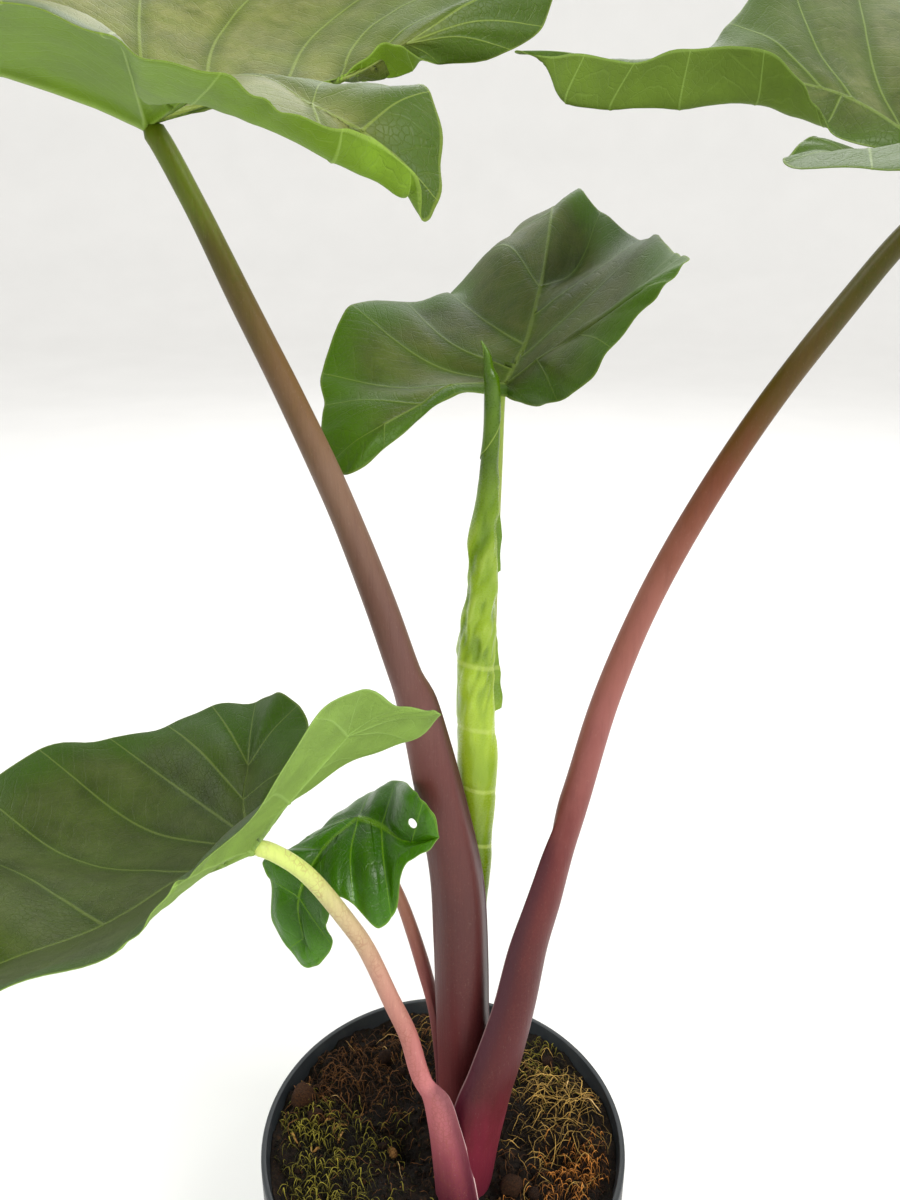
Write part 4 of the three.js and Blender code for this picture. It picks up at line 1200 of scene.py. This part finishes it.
def leaf_finish(name, upper, margin_green, under, vein, under_vein, painted_sheen, gloss, shine, coat=0.0):
    """Two-sided leaf skin. Colours: upper side, its margin, underside, veins above and below, and a painted
    sheen laid on the panels between the veins.
    """
    f = Finish(name)
    vein_mark, away, reach, rib, edge, lobe, below = (
        f.mark(key) for key in ("vein", "away", "reach", "rib", "edge", "lobe", "under"))
    mottle = f.speckle(16, detail=4, rough=0.6)
    fine = f.speckle(1.3, detail=4, rough=0.65)
    wander = f.speckle(8, detail=2) * 3.2
    side_vein = ((reach * 0.85 - away * 0.75 + wander) / 6.4).fraction()
    side_line = (side_vein - 0.5).size().rise(0.0, 0.085, 1.0, 0.0) * away.rise(0.6, 2.0)
    small_cells = f.cell_walls(2.2).rise(0.0, 0.09, 1.0, 0.0)
    line = vein_mark.rise(0.3, 1.4, 1.0, 0.0).most(rib.rise(0.35, 1.0, 1.0, 0.0))
    halo = vein_mark.rise(0.8, 6.0, 1.0, 0.0).most(rib.rise(0.7, 2.4, 1.0, 0.0))
    broad = f.speckle(34, detail=3, rough=0.5)
    margin = (edge + (broad - 0.5) * 40).rise(0.0, 26.0, 1.0, 0.0)
    rim = edge.rise(0.3, 0.9, 1.0, 0.0)

    dark_upper = tuple(c * 0.82 for c in upper)
    top = f.blend(dark_upper, upper, mottle.rise(0.3, 0.7))
    # Painted sheen: streaks of a paler, greyer colour on the panels between the veins, away from the margin,
    # stand in for the gloss of the bulging sheet.
    streaks = f.speckle(11, detail=5, rough=0.7, warp=0.8)
    panel = away.rise(1.5, 7.0) * edge.rise(6.0, 30.0) * streaks.rise(0.25, 0.8)
    top = f.blend(top, painted_sheen, panel * lobe.rise(0.1, 0.6, 0.5, 0.1))
    top = f.blend(top, margin_green, (margin * 0.75).most(lobe.rise(0.05, 0.8) * 0.8))
    top = f.blend(top, margin_green, halo * 0.15)
    top = f.blend(top, vein, side_line * 0.05)
    top = f.blend(top, dark_upper, small_cells * 0.2)
    top = f.blend(top, vein, line * 0.5)
    top = f.blend(top, vein, rim * 0.4)

    light_under = tuple(min(255, c * 1.1) for c in under)
    low = f.blend(under, light_under, mottle.rise(0.3, 0.7))
    low = f.blend(low, under_vein, side_line * 0.12)
    low = f.blend(low, under_vein, line * 0.6)
    low = f.blend(low, under_vein, rim * 0.6)

    base = f.blend(top, low, below)
    rough = (gloss + fine * 0.12 + mottle * 0.08) + below * 0.12 - line * 0.05
    height = fine * 0.3 - side_line * 0.25 - small_cells * 0.2
    return f.skin(base, rough, f.relief(height, 0.35), Specular_IOR_Level=shine, Coat_Weight=coat,
                  Coat_Roughness=0.12)


def stalk_finish(name, stops, mottled):
    """A fleshy stalk whose colour runs from its foot to its blade."""
    f = Finish(name)
    along, wing, inside = f.mark("along"), f.mark("wing"), f.mark("inside")
    grain = f.speckle(0.8, detail=4, rough=0.7, stretch=(1, 1, 0.35))
    blotches = f.speckle(9, detail=4, rough=0.6, stretch=(1, 1, 0.4))
    streaks = f.speckle(1.6, detail=3, rough=0.6, stretch=(1, 1, 0.06))
    base = f.ramp(along + (blotches - 0.5) * 0.1, stops)
    base = f.blend(base, f.blend(base, (60, 20, 30), 0.5), streaks.rise(0.45, 0.7) * 0.22)
    base = f.blend(base, f.blend(base, (236, 214, 190), 0.5), grain.rise(0.58, 0.7) * (0.06 + 0.3 * mottled))
    web = f.cell_walls(2.6).rise(0.0, 0.14, 1.0, 0.0) * blotches.rise(0.4, 0.6)
    base = f.blend(base, f.blend(base, (150, 84, 70), 0.5), web * mottled)
    # Painted shade inside the groove.
    base = f.blend(base, f.blend(base, (50, 16, 30), 0.55), inside * 0.5)
    base = f.blend(base, (58, 16, 36), wing.rise(0.15, 0.8) * 0.6)
    base = f.blend(base, (224, 190, 188), wing.rise(0.93, 0.985) * min(0.85, 2 * mottled))
    rough = 0.32 + grain * 0.16 + blotches * 0.08
    return f.skin(base, rough, f.relief(streaks * 0.7 + grain * 0.3, 0.25), Specular_IOR_Level=0.32)


ROLL_COLOURS = [  # from the roll's foot to its tip
    (0.0, (188, 176, 120)), (0.07, (96, 116, 16)), (0.2, (104, 130, 12)), (0.27, (130, 156, 26)),
    (0.36, (166, 194, 52)), (0.45, (158, 188, 46)), (0.56, (136, 168, 28)), (0.66, (108, 140, 16)),
    (0.74, (62, 92, 2)), (1.0, (66, 98, 4)),
]


def rolled_finish():
    f = Finish("glossy_lime_skin")
    along, wound, pucker, fold, dimpled, loose = (
        f.mark(key) for key in ("along", "wound", "pucker", "fold", "dimpled", "loose"))
    mottle = f.speckle(10, detail=3, stretch=(1, 1, 0.5))
    fine = f.speckle(0.9, detail=3, rough=0.6)
    base = f.ramp(along, ROLL_COLOURS)
    base = f.blend(base, (110, 146, 14), mottle.rise(0.4, 0.7) * 0.4)
    # Painted shade in the wrinkles' valleys and painted highlights on their raised tops.
    base = f.blend(base, (72, 108, 2), pucker.rise(-0.5, 0.05, 1.0, 0.0) * dimpled * 0.6)
    base = f.blend(base, (190, 212, 96), pucker.rise(0.15, 0.5) * dimpled * 0.35)
    base = f.blend(base, (84, 126, 10), loose * 0.7)
    base = f.blend(base, (196, 214, 112), fold.rise(0.5, 1.6, 1.0, 0.0) * 0.4)
    base = f.blend(base, (186, 208, 96), wound.rise(0.965, 0.995) * 0.45)
    rough = 0.2 + fine * 0.1 + mottle * 0.06
    return f.skin(base, rough, f.relief(fine, 0.12), Specular_IOR_Level=0.4)


# The plant

# The grown leaves are one kind of leaf. Their tones differ leaf by leaf as painted light and shade, from the
# left leaf, painted lighter as if sunlit, to the low leaf, painted darkest. The sixth colour of each is its
# painted sheen.
LEAF_FINISHES = {
    "left": leaf_finish("sunlit_leaf", (98, 110, 38), (48, 78, 0), (96, 126, 22), (128, 146, 62),
                        (140, 168, 72), (146, 144, 92), 0.34, 0.2),
    "right": leaf_finish("side_leaf", (70, 86, 28), (58, 86, 4), (80, 102, 26), (118, 138, 66),
                         (120, 146, 64), (122, 124, 80), 0.34, 0.2),
    "back": leaf_finish("far_leaf", (70, 88, 22), (62, 98, 4), (112, 142, 40), (112, 130, 56),
                        (140, 168, 72), (96, 98, 50), 0.36, 0.18),
    "low_left": leaf_finish("low_leaf", (62, 78, 22), (46, 78, 2), (112, 140, 60), (108, 124, 56),
                            (140, 172, 88), (84, 92, 52), 0.38, 0.18),
    "small": leaf_finish("fresh_leaf", (44, 90, 0), (66, 118, 2), (128, 156, 82), (112, 154, 34),
                         (156, 184, 104), (70, 110, 8), 0.2, 0.28, coat=0.06),
}

STALK_COLOURS = {  # from the stalk's foot to its blade
    "left": [
        (0.0, (112, 54, 58)), (0.16, (104, 46, 48)), (0.27, (84, 38, 38)), (0.35, (82, 42, 40)),
        (0.5, (98, 52, 48)), (0.63, (112, 78, 70)), (0.75, (122, 94, 76)), (0.84, (102, 76, 42)),
        (0.91, (80, 72, 8)), (0.97, (92, 108, 6)),
    ],
    "right": [
        (0.0, (112, 36, 58)), (0.12, (118, 38, 54)), (0.2, (78, 18, 24)), (0.32, (76, 20, 20)),
        (0.42, (100, 36, 34)), (0.55, (152, 90, 84)), (0.66, (156, 96, 82)), (0.75, (128, 70, 44)),
        (0.82, (100, 72, 20)), (0.92, (74, 70, 4)),
    ],
    "low_left": [
        (0.0, (84, 24, 48)), (0.12, (112, 42, 62)), (0.24, (158, 80, 92)), (0.34, (188, 110, 116)),
        (0.5, (176, 110, 104)), (0.66, (184, 138, 118)), (0.8, (190, 172, 128)), (0.92, (200, 214, 116)),
    ],
    "back": [(0.0, (150, 100, 96)), (0.35, (176, 160, 110)), (0.7, (170, 182, 92)), (1.0, (150, 176, 70))],
    "small": [(0.0, (120, 60, 60)), (0.6, (142, 84, 80)), (0.9, (150, 110, 80)), (1.0, (130, 150, 60))],
}

MOTTLED = {"left": 0.1, "right": 0.1, "low_left": 0.9, "back": 0.3, "small": 0.4}  # pale specks and webs
LEAF_HOLE = ((-12.7, -20.4, 356.5), 2.5)  # middle and radius, in the small leaf


def build_plant():
    for name, blade in BLADES.items():
        young = name == "small"
        piece = blade_mesh(f"leaf_{name}", blade, LEAF_HOLE if young else None)
        slot = "young_leaf" if young else "mature_leaf"
        place(piece, LEAF_FINISHES[name], slot, f"blade_{name}")
        stalk = stalk_mesh(f"petiole_{name}", STALKS[name], blade)
        finish = stalk_finish(f"{name}_stalk_skin", STALK_COLOURS[name], MOTTLED[name])
        place(stalk, finish, "stalk_skin", f"stalk_{name}")
    place(rolled_leaf_mesh(), rolled_finish(), "rolled_leaf_skin", "rolled_leaf")


def build_pot():
    place(pot_mesh(), pot_finish(), "pot_plastic", "pot")
    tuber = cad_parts["rhizome"]
    tuber.data.materials.clear()
    tuber.data.materials.append(rhizome_finish())


def build_soil():
    place(soil_mesh(), soil_finish(), "potting_soil", "soil")
    place(crumbs_mesh(), crumb_finish(), "potting_soil")
    golden = [((70, 22), 11, 300, 22, 0.5, 5.0, 0.24), ((52, 44), 12, 150, 16, 0.55, 4.0, 0.22),
              ((52, 2), 14, 130, 18, 0.5, 4.0, 0.24), ((-4, 74), 12, 90, 20, 0.4, 5.0, 0.22)]
    moss = [((-72, 8), 11, 420, 9, 0.6, 5.0, 0.26), ((-60, -24), 15, 620, 9, 0.6, 5.0, 0.28),
            ((-36, 0), 11, 200, 8, 0.6, 3.5, 0.24), ((58, 52), 11, 260, 9, 0.6, 3.5, 0.24),
            ((-20, -60), 18, 260, 9, 0.6, 3.5, 0.26)]
    brown = [((-66, 42), 16, 620, 13, 0.7, 5.0, 0.26), ((-36, 46), 16, 420, 12, 0.8, 4.0, 0.24),
             ((0, 68), 22, 420, 14, 0.7, 3.5, 0.24), ((30, -60), 26, 420, 12, 0.8, 3.0, 0.24),
             ((-4, 10), 30, 320, 12, 0.8, 2.4, 0.22)]
    rusty = [((72, -18), 10, 420, 7, 0.8, 4.0, 0.26), ((54, -34), 12, 160, 8, 0.8, 3.0, 0.24)]
    straw = [((-57, -6), 7, 9, 9, 0.2, 3.0, 0.8), ((77, 30), 8, 12, 16, 0.25, 5.0, 0.5),
             ((-10, 70), 14, 16, 22, 0.3, 6.0, 0.26), ((-50, 40), 24, 16, 16, 0.3, 5.0, 0.24),
             ((30, -50), 26, 12, 12, 0.3, 3.0, 0.6)]
    # Each layer's dark colour goes on the low strands as painted shade, its light colour on those that rise.
    layers = (
        ("golden_roots", golden, (20, 12, 4), (212, 172, 92)),
        ("moss_threads", moss, (10, 10, 2), (150, 140, 50)),
        ("brown_roots", brown, (14, 8, 3), (122, 80, 42)),
        ("rusty_fibres", rusty, (44, 22, 6), (216, 142, 66)),
        ("straw_bits", straw, (150, 110, 56), (230, 194, 130)),
    )
    for name, groups, dark, light in layers:
        place(fibres_mesh(name, groups), fibre_finish(name + "_skin", dark, light), "potting_soil")


# The room: a pale round floor that turns up into a wall, soft lamps and the camera

FLOOR_PROFILE = (  # radius and height in metres
    (0.02, 0.0), (1.0, 0.0), (2.0, 0.0), (3.2, 0.0), (3.9, 0.06), (4.5, 0.3), (4.9, 0.8), (5.0, 1.3),
    (5.0, 1.9),
)
DAYLIGHT = {"colour": (1.0, 0.985, 0.96), "strength": 0.85}
LAMPS = (  # name, place, what it faces, width and height, watts and tint
    ("window", (1.4, -1.1, 2.1), (0, 0, 0.45), (1.2, 1.2), 56, DAYLIGHT["colour"]),
    ("side_window", (-1.9, 0.0, 1.7), (0, 0, 0.4), (0.9, 1.4), 24, (0.97, 0.99, 1.0)),
    ("far_window", (0.3, 2.2, 1.9), (0, 0, 0.5), (1.8, 0.9), 16, (1, 1, 1)),
)
# Metres, degrees below level and millimetres
CAMERA = {"place": (0.0036, -0.385, 0.608), "down": 22, "lens": 30, "sensor": 36}


def build_stage(sides=96):
    circle = circle_points(sides)
    points = np.vstack([level_ring(circle, radius, z) for radius, z in FLOOR_PROFILE]) / MM
    faces = ring_faces(len(FLOOR_PROFILE), sides) + [tuple(range(sides))]
    room = mesh_object("pale_floor", points, faces)
    f = Finish("pale_paint")
    cloud = f.speckle(180, detail=3)
    paint = f.blend((236, 236, 235), (242, 242, 241), cloud)
    room.data.materials.append(f.skin(paint, 0.85 + cloud * 0.1))


def lamp(name, place_at, aim, size, power, tint):
    data = bpy.data.lights.new(name, "AREA")
    data.shape = "RECTANGLE"
    data.size, data.size_y = size
    data.energy = power
    data.color = tint
    made = bpy.data.objects.new(name, data)
    made.location = place_at
    made.rotation_euler = (Vector(aim) - Vector(place_at)).to_track_quat("-Z", "Y").to_euler()
    bpy.context.scene.collection.objects.link(made)


def build_light():
    world = bpy.data.worlds.new("soft_room")
    world.use_nodes = True
    sky = world.node_tree.nodes["Background"].inputs
    sky["Color"].default_value = (*DAYLIGHT["colour"], 1.0)
    sky["Strength"].default_value = DAYLIGHT["strength"]
    bpy.context.scene.world = world
    for values in LAMPS:
        lamp(*values)


def build_camera():
    """The camera that took the photo, as found from the pot's rim."""
    data = bpy.data.cameras.new("camera")
    data.lens = CAMERA["lens"]
    data.sensor_width = CAMERA["sensor"]
    data.clip_start = 0.01
    camera = bpy.data.objects.new("camera", data)
    camera.location = CAMERA["place"]
    camera.rotation_euler = (math.radians(90 - CAMERA["down"]), 0, 0)
    bpy.context.scene.collection.objects.link(camera)
    bpy.context.scene.camera = camera


build_pot()
build_soil()
build_plant()
build_stage()
build_light()
build_camera()
bpy.context.scene.view_settings.view_transform = "Standard"
